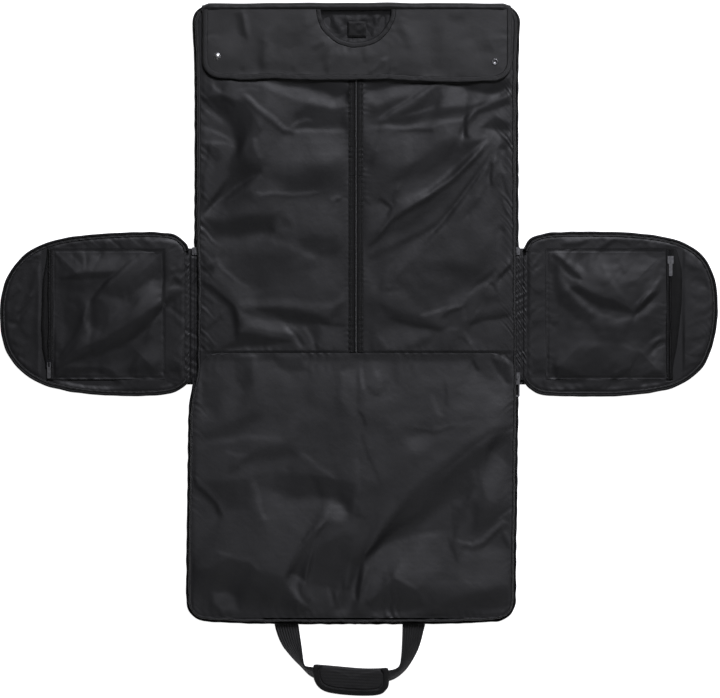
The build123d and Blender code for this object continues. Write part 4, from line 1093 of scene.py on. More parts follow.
def along(path):
    return np.concatenate([[0], np.cumsum(np.linalg.norm(np.diff(path, axis=0), axis=1))])


def edge_parts(path, inward, zip_from=None, seed=1, phase=0.0, narrow=1.0):
    """All the layers of the bag's edge along a path. inward is +1 where the bag lies to the right of travel.
    zip_from: (first, last) index along the path that carries zip and outer piping."""
    parts = []
    a, b = (0, len(path)) if zip_from is None else zip_from

    def prof(pts):
        p = np.asarray(pts, float)
        p[:, 0] *= inward
        return p

    pz = path[a:b]
    if len(pz) > 3:
        # the soft edge of the shell and the outer piping
        V, F, sh = sweep(pz, prof(tube_profile(2.4, 10, 1.0, 0.0, 5.8)), wobble=lambda s, u, v: (0.35 * run1d(s + phase, 22, 70, seed), 0.3 * run1d(s + phase, 18, 60, seed + 1)))
        parts.append((V, capped(V, F, sh), 0))
        flat = [(-0.5, 3.2), (2, 3.4), (9, 3.6), (18, 4.0), (18, 5.2), (9, 6.2), (2, 6.2), (-0.5, 5.6)]
        V, F, sh = sweep(pz, prof(flat))
        parts.append((V, capped(V, F, sh), 1))
        # zip tape, with the shallow waves that sewing gives it
        tape = [(1.6, 6.7), (3.6, 7.6), (6.0, 7.9), (9.6, 8.4), (9.6, 9.1), (6.0, 8.6), (3.6, 8.3), (1.6, 7.5)]
        V, F, sh = sweep(pz, prof(tape), wobble=lambda s, u, v: (0 * u, 0.35 * run1d(s + phase + 0 * u, 12, 32, seed + 2)))
        parts.append((V, capped(V, F, sh), 1))
        # coil
        fine = resample(pz, 0.62)
        V, F, sh = sweep(fine, prof(tube_profile(1.8, 8, 0.8, 4.3, 9.2)), wobble=lambda s, u, v: (
            (u - inward * 4.3) * (0.16 * np.cos(2 * math.pi * (s + phase) / 2.5)), (v - 9.2) * (0.30 * np.cos(2 * math.pi * (s + phase) / 2.5)) + 0.3 * run1d(s + phase, 14, 40, seed + 2)))
        parts.append((V, capped(V, F, sh), 2))
    # border: rises from the tape to the cloth
    wall = [(6.4, 7.6), (6.0, 10.0), (5.4, 13.0), (4.8, 15.5), (4.4, 16.8), (5.6, 16.8), (6.6, 13.5), (7.4, 10.0), (8.2, 7.6), (7.2, 7.2)]
    V, F, sh = sweep(path, prof(wall), wobble=lambda s, u, v: (
        inward * 0.8 * run1d(s + phase + 0.8 * v, 10, 26, seed + 3) * np.exp(-((v - 12.5) / 4) ** 2), 0 * u))
    parts.append((V, capped(V, F, sh), 1))
    # binding tape, folded over the cloth's edge
    k = narrow
    bind = [(2.6, 16.5), (2.8, 17.6), (2.8 + 1.2 * k, 18.4), (2.8 + 2.8 * k, 18.65), (2.8 + 4.4 * k, 18.4), (2.8 + 5.6 * k, 17.9), (2.8 + 5.9 * k, 17.0), (2.8 + 4.0 * k, 16.4), (2.8 + 2.2 * k, 16.1), (3.2, 15.9)]
    V, F, sh = sweep(path, prof(bind), wobble=lambda s, u, v: (
        inward * 0.4 * run1d(s + phase, 26, 80, seed + 4), 0.28 * run1d(s + phase + 0.6 * np.abs(u), 9, 26, seed + 5) * smooth((np.abs(u) - 3) / 3)))
    parts.append((V, capped(V, F, sh), 3))
    # stitching on it
    pth, t, side, up = path_frames(path)
    st = pth + side * (inward * (2.8 + 4.3 * k) + inward * 0.4 * run1d(along(path) + phase, 26, 80, seed + 4))[:, None]
    st[:, 2] = 18.35 + 0.28 * run1d(along(path) + phase + 0.6 * (2.8 + 4.3 * k), 9, 26, seed + 5)
    V, F = stitches(st, None, 2.6, 0.7, 1.3, 0.2)
    parts.append((V, F, 4))
    return parts


EDGE_MATS = [M["piping"], M["tape"], M["coil"], M["binding"], M["thread"]]
UPPER_END, LOWER_END = 524.0, 521.3
for sx in (-1, 1):
    for sy in (1, -1):
        side = "left" if sx < 0 else "right"
        end = "up" if sy > 0 else "low"
        inward = 1 if sx * sy < 0 else -1
        z0 = 99.0 if sy > 0 else 112.0
        if sx > 0 and sy < 0:
            z0 = 108.0
        p1 = straight(sx, sy, 0.0, MID, 1.0)
        first = int(np.searchsorted(np.abs(p1[:, 1]), z0))
        ph = 500.0 + 0.0
        parts = edge_parts(p1, inward, (first, len(p1)), seed=101 + (sx > 0) * 20 + (sy > 0) * 40, phase=0.0, narrow=1.0 if sy > 0 else 0.75)
        V, F, mi = join_parts(parts)
        ob = quads_mesh(f"edge_{side}_front_{end}", V, F, EDGE_MATS, mi)
        bm_fix(ob)
        flat_own(ob)
        attach(ob, UP1 if sy > 0 else LO1)
        if sx < 0:
            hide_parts(*(["base_borders", "upper_wall_side_zips"] if sy > 0 else ["lower_wall_side_zips"]))
        p2 = edge_path(sx, sy, MID, 1.0, bow=2.8 if sy > 0 else 4.6, edge_y=UPPER_END if sy > 0 else LOWER_END, r=28.0 if sy > 0 else 34.0)
        parts = edge_parts(p2, inward, None, seed=101 + (sx > 0) * 20 + (sy > 0) * 40, phase=MID, narrow=1.0 if sy > 0 else 0.75)
        V, F, mi = join_parts(parts)
        ob = quads_mesh(f"edge_{side}_back_{end}", V, F, EDGE_MATS, mi)
        bm_fix(ob)
        flat_own(ob)
        attach(ob, UP2 if sy > 0 else LO2)
        if sx < 0:
            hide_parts("upper_roof_edge_zip" if sy > 0 else "lower_roof_edge_zip")


# ------------------------------------------------------------------ the centre zip
def centre_zip(name, y0, y1, how, reps):
    parts = []
    path = resample([(0, y0, 0), (0, y1, 0)], 1.4)
    for s in (-1, 1):
        tape = np.array([(1.6 * s, 17.6), (4.5 * s, 18.1), (9.0 * s, 18.45), (12.4 * s, 18.75), (12.4 * s, 18.0), (9.0 * s, 17.7), (4.5 * s, 17.4), (1.6 * s, 17.0)])
        V, F, sh = sweep(path, tape, wobble=lambda q, u, v: (0 * u, 0.28 * run1d(q + y0, 8.2, 10.6, 4) * smooth((np.abs(u) - 5) / 5)))
        parts.append((V, capped(V, F, sh), 0))
        for off, sd in ((7.2, 1), (10.6, 2)):
            st = resample([(s * off, y0, 0), (s * off, y1, 0)], 2.0)
            st[:, 2] = 18.3 + (off - 7.2) * 0.08 + 0.28 * run1d(along(st) + y0, 8.2, 10.6, 4) * float(smooth((off - 5) / 5))
            V, F = stitches(st, None, 2.6, 0.8, 1.3, 0.32)
            parts.append((V, F, 2))
    fine = resample([(0, y0, 0), (0, y1, 0)], 0.62)
    V, F, sh = sweep(fine, tube_profile(2.5, 10, 0.55, 0.0, 18.4), wobble=lambda q, u, v: (
        u * 0.12 * np.cos(2 * math.pi * (q + y0) / 2.5), (v - 18.4) * 0.35 * np.cos(2 * math.pi * (q + y0) / 2.5 + np.sign(u) * 0.9)))
    parts.append((V, capped(V, F, sh), 1))
    # the two rows of teeth meet in a fine raised line; it is given a much lighter colour than the coil, a painted
    # highlight
    V, F, sh = sweep(fine, tube_profile(0.55, 6, 1.0, 0.55, 19.75), wobble=lambda q, u, v: (0.12 * np.cos(2 * math.pi * (q + y0) / 2.5) + 0 * u, 0 * v))
    parts.append((V, capped(V, F, sh), 3))
    V, F, mi = join_parts(parts)
    ob = quads_mesh(name, V, F, [M["tape"], M["coil"], M["thread"], M["coil_line"]], mi)
    bm_fix(ob)
    flat_own(ob)
    attach(ob, how)
    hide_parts(*reps)
    return ob


# a painted highlight: the coil's crest line is coloured several times lighter than the coil itself
M["coil_line"] = fabric("zip_coil_crest_painted_highlight", grey(0.03), grey(0.06), rough=0.4, pitch=0.0011, bump=0.05, spec=0.6)
centre_zip("centre_zip_front", HEM_Y + 1, MID, UP1, ["base_centre_zip", "upper_wall_centre_zip"])
centre_zip("centre_zip_back", MID, 456.0, UP2, ["upper_roof_centre_zip"])


# ------------------------------------------------------------------ wings
def catmull(pts, n=16, closed=False):
    pts = np.asarray(pts, float)
    if closed:
        pts = np.concatenate([pts[-1:], pts, pts[:2]])
    else:
        pts = np.concatenate([[2 * pts[0] - pts[1]], pts, [2 * pts[-1] - pts[-2]]])
    out = []
    for i in range(1, len(pts) - 2):
        p0, p1, p2, p3 = pts[i - 1:i + 3]
        t = np.linspace(0, 1, n, endpoint=False)[:, None]
        out.append(0.5 * (2 * p1 + (p2 - p0) * t + (2 * p0 - 5 * p1 + 4 * p2 - p3) * t ** 2 + (3 * p1 - p0 - 3 * p2 + p3) * t ** 3))
    out = np.concatenate(out)
    if not closed:
        out = np.concatenate([out, pts[-2:-1]])
    return out


WING_EDGE = {
    # from the upper root corner round the tip to the lower root corner
    "left": [(-285, 108), (-290, 119.9), (-305, 132.5), (-328, 137.6), (-362, 138.8), (-417, 136.8), (-468, 132.6), (-509, 125.6), (-548.7, 110.7),
             (-576.3, 87.7), (-594.7, 58.5), (-603.4, 27), (-605, -2), (-602.4, -36.5), (-591, -70), (-567, -98.8), (-537, -117.5), (-502.7, -128),
             (-456.7, -135.3), (-403.8, -138.4), (-353, -138.4), (-316.4, -134.3), (-295.7, -125), (-285, -115)],
    "right": [(285, 110), (296, 126.5), (319, 136), (353, 138.8), (403, 139.4), (466.8, 137.6), (526, 130), (566, 116.5), (594, 93), (609.5, 60),
              (614.6, 24), (613.6, -14), (605, -56), (585, -95), (537, -125.5), (458, -138), (375.8, -139.4), (319, -137), (296, -126.6), (285, -113)],
}
WING_AREAS = {
    "left": [
        (-1.0, 4, [(-292, 41), (-310, 34), (-330, 24), (-346, 12), (-370, -4), (-400, -24), (-430, -42), (-460, -56), (-490, -74), (-511, -93), (-490, -85), (-470, -78), (-440, -70), (-405, -58), (-380, -44), (-350, -22), (-335, 0), (-325, 12), (-306, 28)]),
        (-0.35, 10, [(-345, -20), (-400, -50), (-470, -80), (-440, -90), (-380, -70), (-350, -45)]),
        (0.45, 6, [(-300, 45), (-330, 35), (-360, 14), (-400, -8), (-440, -34), (-480, -62), (-512, -92), (-505, -80), (-480, -46), (-455, -30), (-430, -18), (-400, 6), (-376, 26), (-360, 50), (-345, 60), (-325, 54)]),
        (-0.38, 6, [(-372, 110), (-322, 110), (-322, 62), (-350, 58), (-372, 40), (-396, 20), (-412, 30), (-440, 36), (-420, 55), (-400, 73), (-380, 92)]),
        (-0.45, 5, [(-450, 26), (-438, 26), (-420, 12), (-420, -15), (-430, -30), (-450, -20), (-452, 0)]),
        (-0.85, 3.5, [(-500, 60), (-480, 67), (-455, 71), (-430, 70), (-405, 73), (-420, 63), (-440, 60), (-470, 57)]),
        (-0.25, 10, [(-500, 58), (-430, 60), (-450, 40), (-490, 42)]),
        (0.30, 6, [(-500, 68), (-463, 82), (-463, 110), (-500, 112), (-512, 86)]),
        (-0.45, 4, [(-484, 106), (-465, 100), (-465, 85), (-480, 88)]),
        (0.30, 6, [(-455, 106), (-420, 106), (-400, 102), (-394, 86), (-410, 74), (-452, 74)]),
        (0.28, 5, [(-518, 60), (-504, 62), (-506, 4), (-518, -6)]),
        (0.36, 7, [(-520, -10), (-500, -14), (-480, -34), (-498, -60), (-510, -82), (-520, -60)]),
        (-0.4, 5, [(-520, -40), (-500, -50), (-502, -62), (-518, -72)]),
        (0.40, 8, [(-346, -10), (-335, 5), (-325, 10), (-325, -80), (-346, -82), (-380, -86), (-402, -92), (-364, -60), (-350, -40)]),
        (-0.95, 4, [(-516, -104), (-500, -95), (-470, -90), (-430, -91), (-410, -100), (-400, -116), (-516, -120)]),
        (-0.6, 4, [(-386, -95), (-372, -90), (-370, -110), (-386, -108)]),
        (-0.5, 4, [(-356, -92), (-345, -92), (-346, -106), (-356, -104)]),
        (0.35, 7, [(-320, 112), (-298, 106), (-294, 84), (-318, 80)]),
        (0.22, 8, [(-320, 20), (-294, 16), (-294, -64), (-320, -70)]),
        (-0.5, 7, [(-322, -84), (-294, -80), (-294, -116), (-322, -120)]),
        (-0.3, 8, [(-545, 60), (-538, 60), (-540, -60), (-552, -56)]),
    ],
    "right": [
        (-1.0, 3, [(334, 102), (345, 97), (356, 88), (368, 78), (380, 67), (385, 58), (376, 60), (362, 72), (348, 85), (336, 96)]),
        (-0.45, 6, [(329, 82), (342, 90), (346, 60), (352, 44), (362, 38), (372, 26), (386, 12), (396, 2), (408, -4), (398, -16), (380, -10), (360, 4), (345, 20), (336, 45)]),
        (-1.0, 4, [(364, 45), (378, 48), (396, 40), (420, 27), (440, 22), (460, 14), (470, 3), (440, 6), (416, 12), (392, 24), (372, 37)]),
        (-1.0, 3, [(476, 3), (484, 20), (496, 31), (508, 39), (511, 33), (500, 20), (488, 9), (480, 1)]),
        (0.30, 9, [(398, 100), (440, 108), (470, 108), (482, 95), (474, 60), (462, 30), (424, 56), (400, 78)]),
        (0.28, 8, [(482, 40), (500, 46), (514, 60), (524, 100), (498, 92), (484, 66)]),
        (-0.28, 9, [(480, 0), (505, 5), (508, -38), (500, -58), (470, -40), (465, -18)]),
        (0.30, 10, [(330, -20), (400, -40), (470, -60), (500, -80), (490, -95), (440, -85), (402, -106), (380, -95), (340, -84), (326, -60)]),
        (-0.85, 4, [(336, -88), (360, -94), (380, -102), (394, -112), (370, -119), (340, -113), (330, -100)]),
        (-0.75, 4, [(428, -112), (450, -98), (468, -91), (464, -104), (440, -117)]),
        (-0.9, 4, [(488, -106), (505, -97), (520, -97), (534, -108), (520, -117), (488, -117)]),
        (-0.42, 5, [(378, 91), (400, 104), (396, 112), (378, 108)]),
        (-0.5, 4, [(480, 112), (500, 101), (520, 101), (534, 109), (520, 114), (492, 114)]),
        (0.40, 5, [(342, 122), (386, 122), (394, 132), (344, 132)]),
        (0.22, 7, [(296, 100), (320, 108), (322, 50), (298, 40)]),
        (-0.3, 8, [(296, -70), (322, -76), (322, -116), (300, -112)]),
        (-0.35, 8, [(562, 92), (584, 84), (580, 68), (564, 74)]),
        (0.20, 9, [(564, 60), (600, 50), (604, -40), (566, -60)]),
    ],
}
WING_STROKES = {
    "left": [
        (0.85, (6, 3.5), [(-360, 107), (-380, 92), (-400, 75), (-418, 60), (-432, 48), (-446, 30), (-455, 14), (-460, -8), (-456, -30)]),
        (0.5, 3, [(-463, 108), (-460, 92), (-462, 80), (-482, 72), (-504, 64)]),
        (0.5, 3, [(-486, 100), (-476, 92), (-468, 84)]),
        (0.6, 3, [(-512, -90), (-494, -80), (-470, -68), (-450, -56)]),
        (0.6, 3, [(-512, -88), (-506, -74), (-492, -56), (-482, -38)]),
        (-0.4, 4, [(-350, 56), (-362, 40), (-376, 26), (-388, 16)]),
        (-0.8, 3.4, [(-310, 60), (-302, 55), (-292, 51)]),
        (-0.7, 3, [(-312, 30), (-306, 16), (-314, 6)]),
        (0.6, 3.4, [(-320, 42), (-306, 46), (-292, 44)]),
        (0.6, 3, [(-320, 62), (-306, 66), (-294, 60)]),
        (0.5, 3, [(-318, 76), (-304, 80), (-294, 78)]),
        (0.5, 3, [(-316, 22), (-308, 32), (-300, 38)]),
        (0.4, 3, [(-320, 4), (-312, 14), (-304, 24)]),
        (-0.6, 3.4, [(-318, -96), (-306, -94), (-296, -98)]),
        (0.5, 3, [(-318, -102), (-308, -106), (-298, -108)]),
        (-0.8, 4.5, [(-574, 84), (-556, 92), (-540, 99), (-526, 106)]),
        (0.4, 4, [(-578, 92), (-560, 100), (-544, 106)]),
        (-0.5, 4.5, [(-544, 74), (-550, 56), (-556, 40)]),
        (-1.1, 3.6, [(-552, 31), (-562, 15), (-574, -1)]),
        (0.5, 4, [(-546, 28), (-556, 10), (-566, -4)]),
        (0.4, 4, [(-564, 34), (-572, 18), (-580, 6)]),
        (-0.6, 3.2, [(-570, 44), (-580, 32), (-594, 22)]),
        (0.4, 3, [(-572, 56), (-584, 46), (-596, 40)]),
        (-0.7, 2.8, [(-600, -10), (-588, -11), (-574, -14)]),
        (0.4, 3, [(-598, -18), (-584, -20), (-572, -22)]),
        (-0.6, 3.2, [(-600, -34), (-590, -44), (-578, -52)]),
        (0.35, 3.2, [(-590, -30), (-576, -40), (-560, -52)]),
        (-0.5, 3.2, [(-590, -62), (-576, -68), (-562, -76)]),
        (0.35, 3.2, [(-580, -70), (-564, -80), (-550, -88)]),
        (-0.4, 3.6, [(-572, -24), (-562, -34), (-556, -44)]),
        (-0.7, 3.6, [(-426, 122), (-430, 112), (-436, 102)]),
        (-0.6, 3, [(-486, 122), (-480, 114), (-474, 108)]),
        (0.5, 3, [(-478, 124), (-468, 118), (-460, 112)]),
        (-0.5, 3, [(-404, 124), (-400, 116), (-394, 110)]),
        (0.5, 3, [(-418, 128), (-410, 120), (-404, 114)]),
        (-0.65, 3, [(-366, 128), (-356, 120), (-346, 112)]),
        (0.5, 3, [(-384, 128), (-376, 120), (-368, 114)]),
        (0.5, 3, [(-352, 128), (-344, 120), (-336, 114)]),
        (-0.6, 3, [(-440, -96), (-424, -104), (-410, -112)]),
        (0.35, 3, [(-470, -104), (-440, -102), (-420, -106)]),
        (0.5, 3, [(-384, -112), (-378, -104), (-366, -100)]),
        (0.45, 3, [(-356, -112), (-344, -106), (-332, -104)]),
        (-0.55, 3, [(-514, 100), (-506, 94), (-502, 84)]),
    ],
    "right": [
        (0.55, 3.4, [(344, 82), (356, 70), (368, 59), (386, 53)]),
        (0.5, 3.6, [(340, 104), (356, 96), (372, 84), (388, 70)]),
        (0.55, (4, 7), [(350, 66), (360, 44), (378, 24), (398, 10), (420, -2), (446, -9), (472, -7), (490, 2), (512, 18)]),
        (0.6, 3.6, [(474, 16), (490, 29), (504, 42), (514, 60)]),
        (0.35, 4, [(420, 90), (430, 66), (444, 44), (460, 26)]),
        (-0.3, 5, [(444, 98), (450, 82), (456, 66)]),
        (0.25, 6, [(372, 60), (392, 52), (410, 40)]),
        (-0.35, 7, [(396, -20), (410, -26), (404, -34)]),
        (-0.75, 3.4, [(506, -60), (514, -50), (528, -44)]),
        (0.55, 3.2, [(504, -72), (512, -60), (524, -54)]),
        (0.45, 3.2, [(500, -50), (508, -44), (520, -38)]),
        (0.35, 4, [(450, -52), (470, -60), (492, -64)]),
        (-0.9, 3.4, [(350, 116), (376, 117), (390, 123), (398, 131)]),
        (-0.9, 3.4, [(416, 108), (430, 118), (442, 127)]),
        (-0.6, 3.2, [(446, 124), (458, 122), (468, 117)]),
        (0.5, 3.2, [(402, 126), (412, 116), (420, 126)]),
        (0.4, 3, [(300, 84), (308, 94), (316, 104)]),
        (-0.35, 3, [(304, 80), (312, 90), (320, 100)]),
        (0.3, 3, [(300, 70), (310, 78), (320, 84)]),
        (-0.45, 3, [(298, -12), (310, -14), (322, -8)]),
        (-0.4, 3.4, [(326, -10), (336, -16), (344, -12)]),
        (0.35, 3, [(300, 10), (312, 8), (320, 12)]),
        (-0.35, 3, [(302, 40), (312, 34), (320, 38)]),
        (-0.5, 3.2, [(300, -104), (310, -96), (326, -98)]),
        (0.45, 3.2, [(306, -112), (320, -108), (334, -118)]),
        (0.35, 3.2, [(350, -122), (372, -120), (392, -124)]),
        (0.5, 3.6, [(562, 100), (572, 90), (582, 78)]),
        (-0.5, 3.6, [(560, 84), (572, 78), (584, 74)]),
        (0.35, 3.6, [(568, 52), (580, 46), (596, 44)]),
        (-0.35, 3.6, [(574, 62), (590, 58), (600, 50)]),
        (-0.35, 3.2, [(566, 36), (576, 30), (588, 26)]),
        (0.35, 3.2, [(568, 22), (580, 16), (596, 14)]),
        (-0.4, 3.6, [(572, -44), (586, -40), (598, -36)]),
        (0.35, 3.6, [(562, -70), (578, -60), (592, -52)]),
        (-0.5, 3.6, [(556, -96), (572, -88), (584, -80)]),
        (0.4, 3.6, [(540, -112), (556, -104), (566, -100)]),
    ],
}


def attr_sheet(name, P, mat, thick, closed_v=False, flip=None):
    N = grid_normals(P)
    if closed_v:
        dv = np.roll(P, -1, 1) - np.roll(P, 1, 1)
        du = np.gradient(P, axis=0)
        N = np.cross(du, dv)
        N /= np.maximum(np.linalg.norm(N, axis=2, keepdims=True), 1e-9)
        N[0] = N[1]
    N = np.where(N[..., 2:3] < 0, -N, N)
    F = grid_faces(P.shape[0], P.shape[1], closed_v)
    V = P.reshape(-1, 3)
    k = F[len(F) // 2]
    if np.cross(V[k[1]] - V[k[0]], V[k[2]] - V[k[0]])[2] < 0:
        F = F[:, ::-1]
    Nn = N.reshape(-1, 3)
    V2, F2, _ = thicken(V, F, Nn, thick)
    ob = quads_mesh(name, V2, F2, mat, vn=np.concatenate([Nn, -Nn]))
    set_flat(ob, np.concatenate([V, V])[:, :2])
    return ob


def outline_distance(x, y, outline):
    d, s = to_line(x, y, np.concatenate([outline, outline[:1]]))
    return d, s * along(np.concatenate([outline, outline[:1]]))[-1]


for sx, side in ((-1, "left"), (1, "right")):
    rim = catmull(WING_EDGE[side], 10)
    rim = resample(rim, 2.2)
    root = resample([rim[-1], rim[0]], 2.2)[1:-1]
    outline = np.concatenate([rim, root])
    centre = np.array([sx * 440.0, 0.0])
    inset = 5.2
    oin = centre + (outline - centre) * (1 - inset / np.linalg.norm(outline - centre, axis=1, keepdims=True))
    rr = np.linspace(0, 1, 62) ** 0.8
    rr[0] = 0.004
    G = centre + (oin[None] - centre) * rr[:, None, None]
    X, Y = G[..., 0], G[..., 1]
    dist, s_at = outline_distance(X, Y, oin)
    lo_x, hi_x = sorted((sx * 286.0, sx * 616.0))
    rel = Relief(lo_x, hi_x, -142, 142, WING_STROKES[side], slope=0.25, seed=61 + sx, grain=0.14, cap=6.5, grain_low=14, grain_high=60, wide=0.05, areas=WING_AREAS[side])

    def face_z(x, y, d, s, sd=130 + sx):
        h = rel(x, y) * smooth(d / 12)
        h = h + pucker(s + 0.9 * d, d, sd, 9, 24, 0.45, 9) + pucker(s - 0.6 * d, d, sd + 9, 18, 46, 0.6, 18)
        h = h + 0.05 * waves(x, y, 9, 26, sd + 4, 24)
        return h - 1.6 * (1 - smooth(d / 7))

    zf = 9.0 + 0.75 * face_z(X, Y, dist, s_at)
    pocket_x0, pocket_x1 = (323.0, 529.5) if sx > 0 else (325.0, 516.5)
    py0, py1 = -111.0, 110.5
    ax = np.abs(X)
    inside = np.minimum(np.minimum(ax - pocket_x0, pocket_x1 - ax), np.minimum(Y - py0, py1 - Y))
    zf = zf - 0.9 * smooth((inside + 1.0) / 5.0)
    rel_pocket = rel.pinned(min(sx * pocket_x0, sx * pocket_x1), max(sx * pocket_x0, sx * pocket_x1), py0, py1, 34.0)
    # the cloth lies flat under the pocket's zip
    zip_far = 556.0 if sx > 0 else 536.5
    band = np.minimum(np.minimum(ax - pocket_x1, zip_far - ax), 113.0 - np.abs(Y))
    zf = zf - np.maximum(zf - 8.3, 0.0) * smooth((band + 4.0) / 5.0)
    zf = np.maximum(zf, 6.2)
    face = attr_sheet(f"wing_{side}_face", np.stack([X, Y, zf], -1), M["wing"], 0.5, closed_v=True)
    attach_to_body(face, f"wing_{side}")
    # pad behind it
    rp = np.linspace(0, 1, 26)
    rp[0] = 0.004
    Gp = centre + (outline[None] - centre) * rp[:, None, None]
    top = 5.4 + 0.6 * waves(Gp[..., 0], Gp[..., 1], 30, 90, 91, 16)
    edge = np.clip((1 - rp) * 120 / 3.0, 0, 1)[:, None]
    roundoff = np.sqrt(np.clip(1 - (1 - edge) ** 2, 0, 1))
    up_z = 3.0 + (top - 3.0) * roundoff
    dn_z = 3.0 - 2.8 * roundoff + 0.25 * np.abs(waves(Gp[..., 0], Gp[..., 1], 20, 60, 92, 16)) * roundoff
    m = len(outline)
    Pt = np.concatenate([np.stack([Gp[..., 0], Gp[..., 1], up_z], -1), np.stack([Gp[..., 0], Gp[..., 1], dn_z], -1)[::-1][1:]])
    F = grid_faces(Pt.shape[0], m, True)
    pad = quads_mesh(f"wing_{side}_pad", Pt.reshape(-1, 3), F, M["shell"])
    bm_fix(pad)
    flat_own(pad)
    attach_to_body(pad, f"wing_{side}")
    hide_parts(f"wing_{side}_shell")
    # piping round the free edge and the flat tape it stands on
    path = np.concatenate([rim, np.full((len(rim), 1), 0.0)], 1)
    inw = 1 if sx < 0 else -1
    parts = []
    path = resample(path, 1.5)
    # travel from the upper root round the tip: the wing lies to the left on the left side, to the right on the right side
    pth, t, sd_, up_ = path_frames(path)
    inw = 1.0 if np.dot(sd_[len(path) // 2][:2], centre - path[len(path) // 2][:2]) > 0 else -1.0

    def pr(pts):
        q = np.asarray(pts, float)
        q[:, 0] *= inw
        return q

    V, F, sh = sweep(path, pr(tube_profile(2.5, 10, 1.05, 1.4, 7.6)), wobble=lambda s, u, v: (0.25 * run1d(s, 26, 80, 5), 0.3 * run1d(s, 22, 60, 6)))
    parts.append((V, capped(V, F, sh), 0))
    V, F, sh = sweep(path, pr([(0.0, 2.2), (1.2, 0.9), (5.5, 0.9), (7.5, 2.0), (8.4, 6.0), (7.6, 8.9), (5.6, 9.6), (3.4, 8.8), (2.2, 6.2), (0.4, 5.6)]), wobble=lambda s, u, v: (0 * u, 0.35 * run1d(s, 9, 24, 7) * smooth((v - 7) / 2)))
    parts.append((V, capped(V, F, sh), 1))
    st = pth + sd_ * (inw * 6.4)
    st[:, 2] = 9.45
    V, F = stitches(st, None, 2.6, 0.7, 1.3, 0.3)
    parts.append((V, F, 2))
    V, F, mi = join_parts(parts)
    pipe = quads_mesh(f"wing_{side}_edge", V, F, [M["piping"], M["binding"], M["thread"]], mi)
    bm_fix(pipe)
    flat_own(pipe)
    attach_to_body(pipe, f"wing_{side}")
    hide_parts(f"wing_{side}_piping")
    # pocket panel
    xs_ = np.sort(sx * axis_points(pocket_x0, pocket_x1, 1.8))
    ys_ = axis_points(py0, py1, 1.8)
    X, Y = np.meshgrid(xs_, ys_, indexing="ij")
    ax = np.abs(X)
    e_in, e_out, e_t, e_b = ax - pocket_x0, pocket_x1 - ax, py1 - Y, Y - py0
    d = np.minimum(np.minimum(e_in, e_out), np.minimum(e_t, e_b))
    z = 9.9 + rel_pocket(X, Y) * seam_fade(d, 5) + 3.4 * smooth(d / 60)
    z += pucker(X + 0.8 * e_t, e_t, 201 + sx, 12, 34, 0.6, 10) + pucker(X, e_b, 203 + sx, 12, 34, 0.7, 10) + pucker(Y, e_in, 205 + sx, 9, 22, 0.45, 7) + pucker(Y, e_out, 207 + sx, 9, 22, 0.4, 7)
    z += 0.07 * waves(X, Y, 14, 34, 209 + sx, 22) * smooth(d / 10)
    z -= 0.55 * np.exp(-((d - 3.0) / 1.1) ** 2)
    z = np.maximum(z, 9.2)
    pk = attr_sheet(f"wing_{side}_pocket_cloth", np.stack([X, Y, z], -1), M["wing"], 0.5)
    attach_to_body(pk, f"wing_{side}")
    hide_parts(f"wing_{side}_pocket")
    # pocket zip
    zx = -522.0 if sx < 0 else 535.0
    parts = []
    path = resample([(zx, -112.0, 0), (zx, 112.0, 0)], 1.5)
    out = 1.0 if sx > 0 else -1.0
    wide = 15.5 if sx > 0 else 13.0
    prof = [(out * -7.0, 10.7), (out * 0.0, 10.9), (out * 6.0, 10.3), (out * wide, 9.6), (out * wide, 8.8), (out * 6.0, 9.3), (out * 0.0, 10.1), (out * -7.0, 9.9)]
    if sx < 0:
        mouth = ([-112, -92, -80, -60, -20, 30, 60, 85, 100, 112], [0.30, 0.34, 0.55, 0.90, 1.05, 0.98, 0.78, 0.45, 0.30, 0.28])
    else:
        mouth = ([-112, -92, -80, -60, -20, 20, 60, 80, 95, 112], [0.26, 0.28, 0.40, 0.66, 1.0, 1.2, 1.32, 1.2, 0.95, 0.6])

    def open_side(s, u, v):
        f_ = np.interp(s - 112.0, mouth[0], mouth[1])
        return np.where(out * u > 2.0, u * (f_ - 1.0), 0.0) + 0.3 * run1d(s, 60, 140, 15), 0.15 * run1d(s + np.abs(u), 14, 34, 16)

    V, F, sh = sweep(path, prof, wobble=open_side)
    parts.append((V, capped(V, F, sh), 0))
    fine = resample([(zx, -110.0, 0), (zx, 110.0, 0)], 0.62)
    V, F, sh = sweep(fine, tube_profile(2.0, 8, 0.7, 0.0, 11.4), wobble=lambda s, u, v: (
        u * 0.15 * np.cos(2 * math.pi * s / 2.4) + 0.35 * run1d(s, 40, 110, 15), (v - 11.4) * 0.35 * np.cos(2 * math.pi * s / 2.4)))
    parts.append((V, capped(V, F, sh), 1))
    for off in (-5.2,):
        st = resample([(zx + out * off, -110.0, 11.0), (zx + out * off, 110.0, 11.0)], 2.0)
        V, F = stitches(st, None, 2.6, 0.7, 1.3, 0.3)
        parts.append((V, F, 2))
    V, F, mi = join_parts(parts)
    zp = quads_mesh(f"wing_{side}_zip", V, F, [M["tape"], M["piping"], M["thread"]], mi)
    bm_fix(zp)
    flat_own(zp)
    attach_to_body(zp, f"wing_{side}")
    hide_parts(f"wing_{side}_pocket_zip")
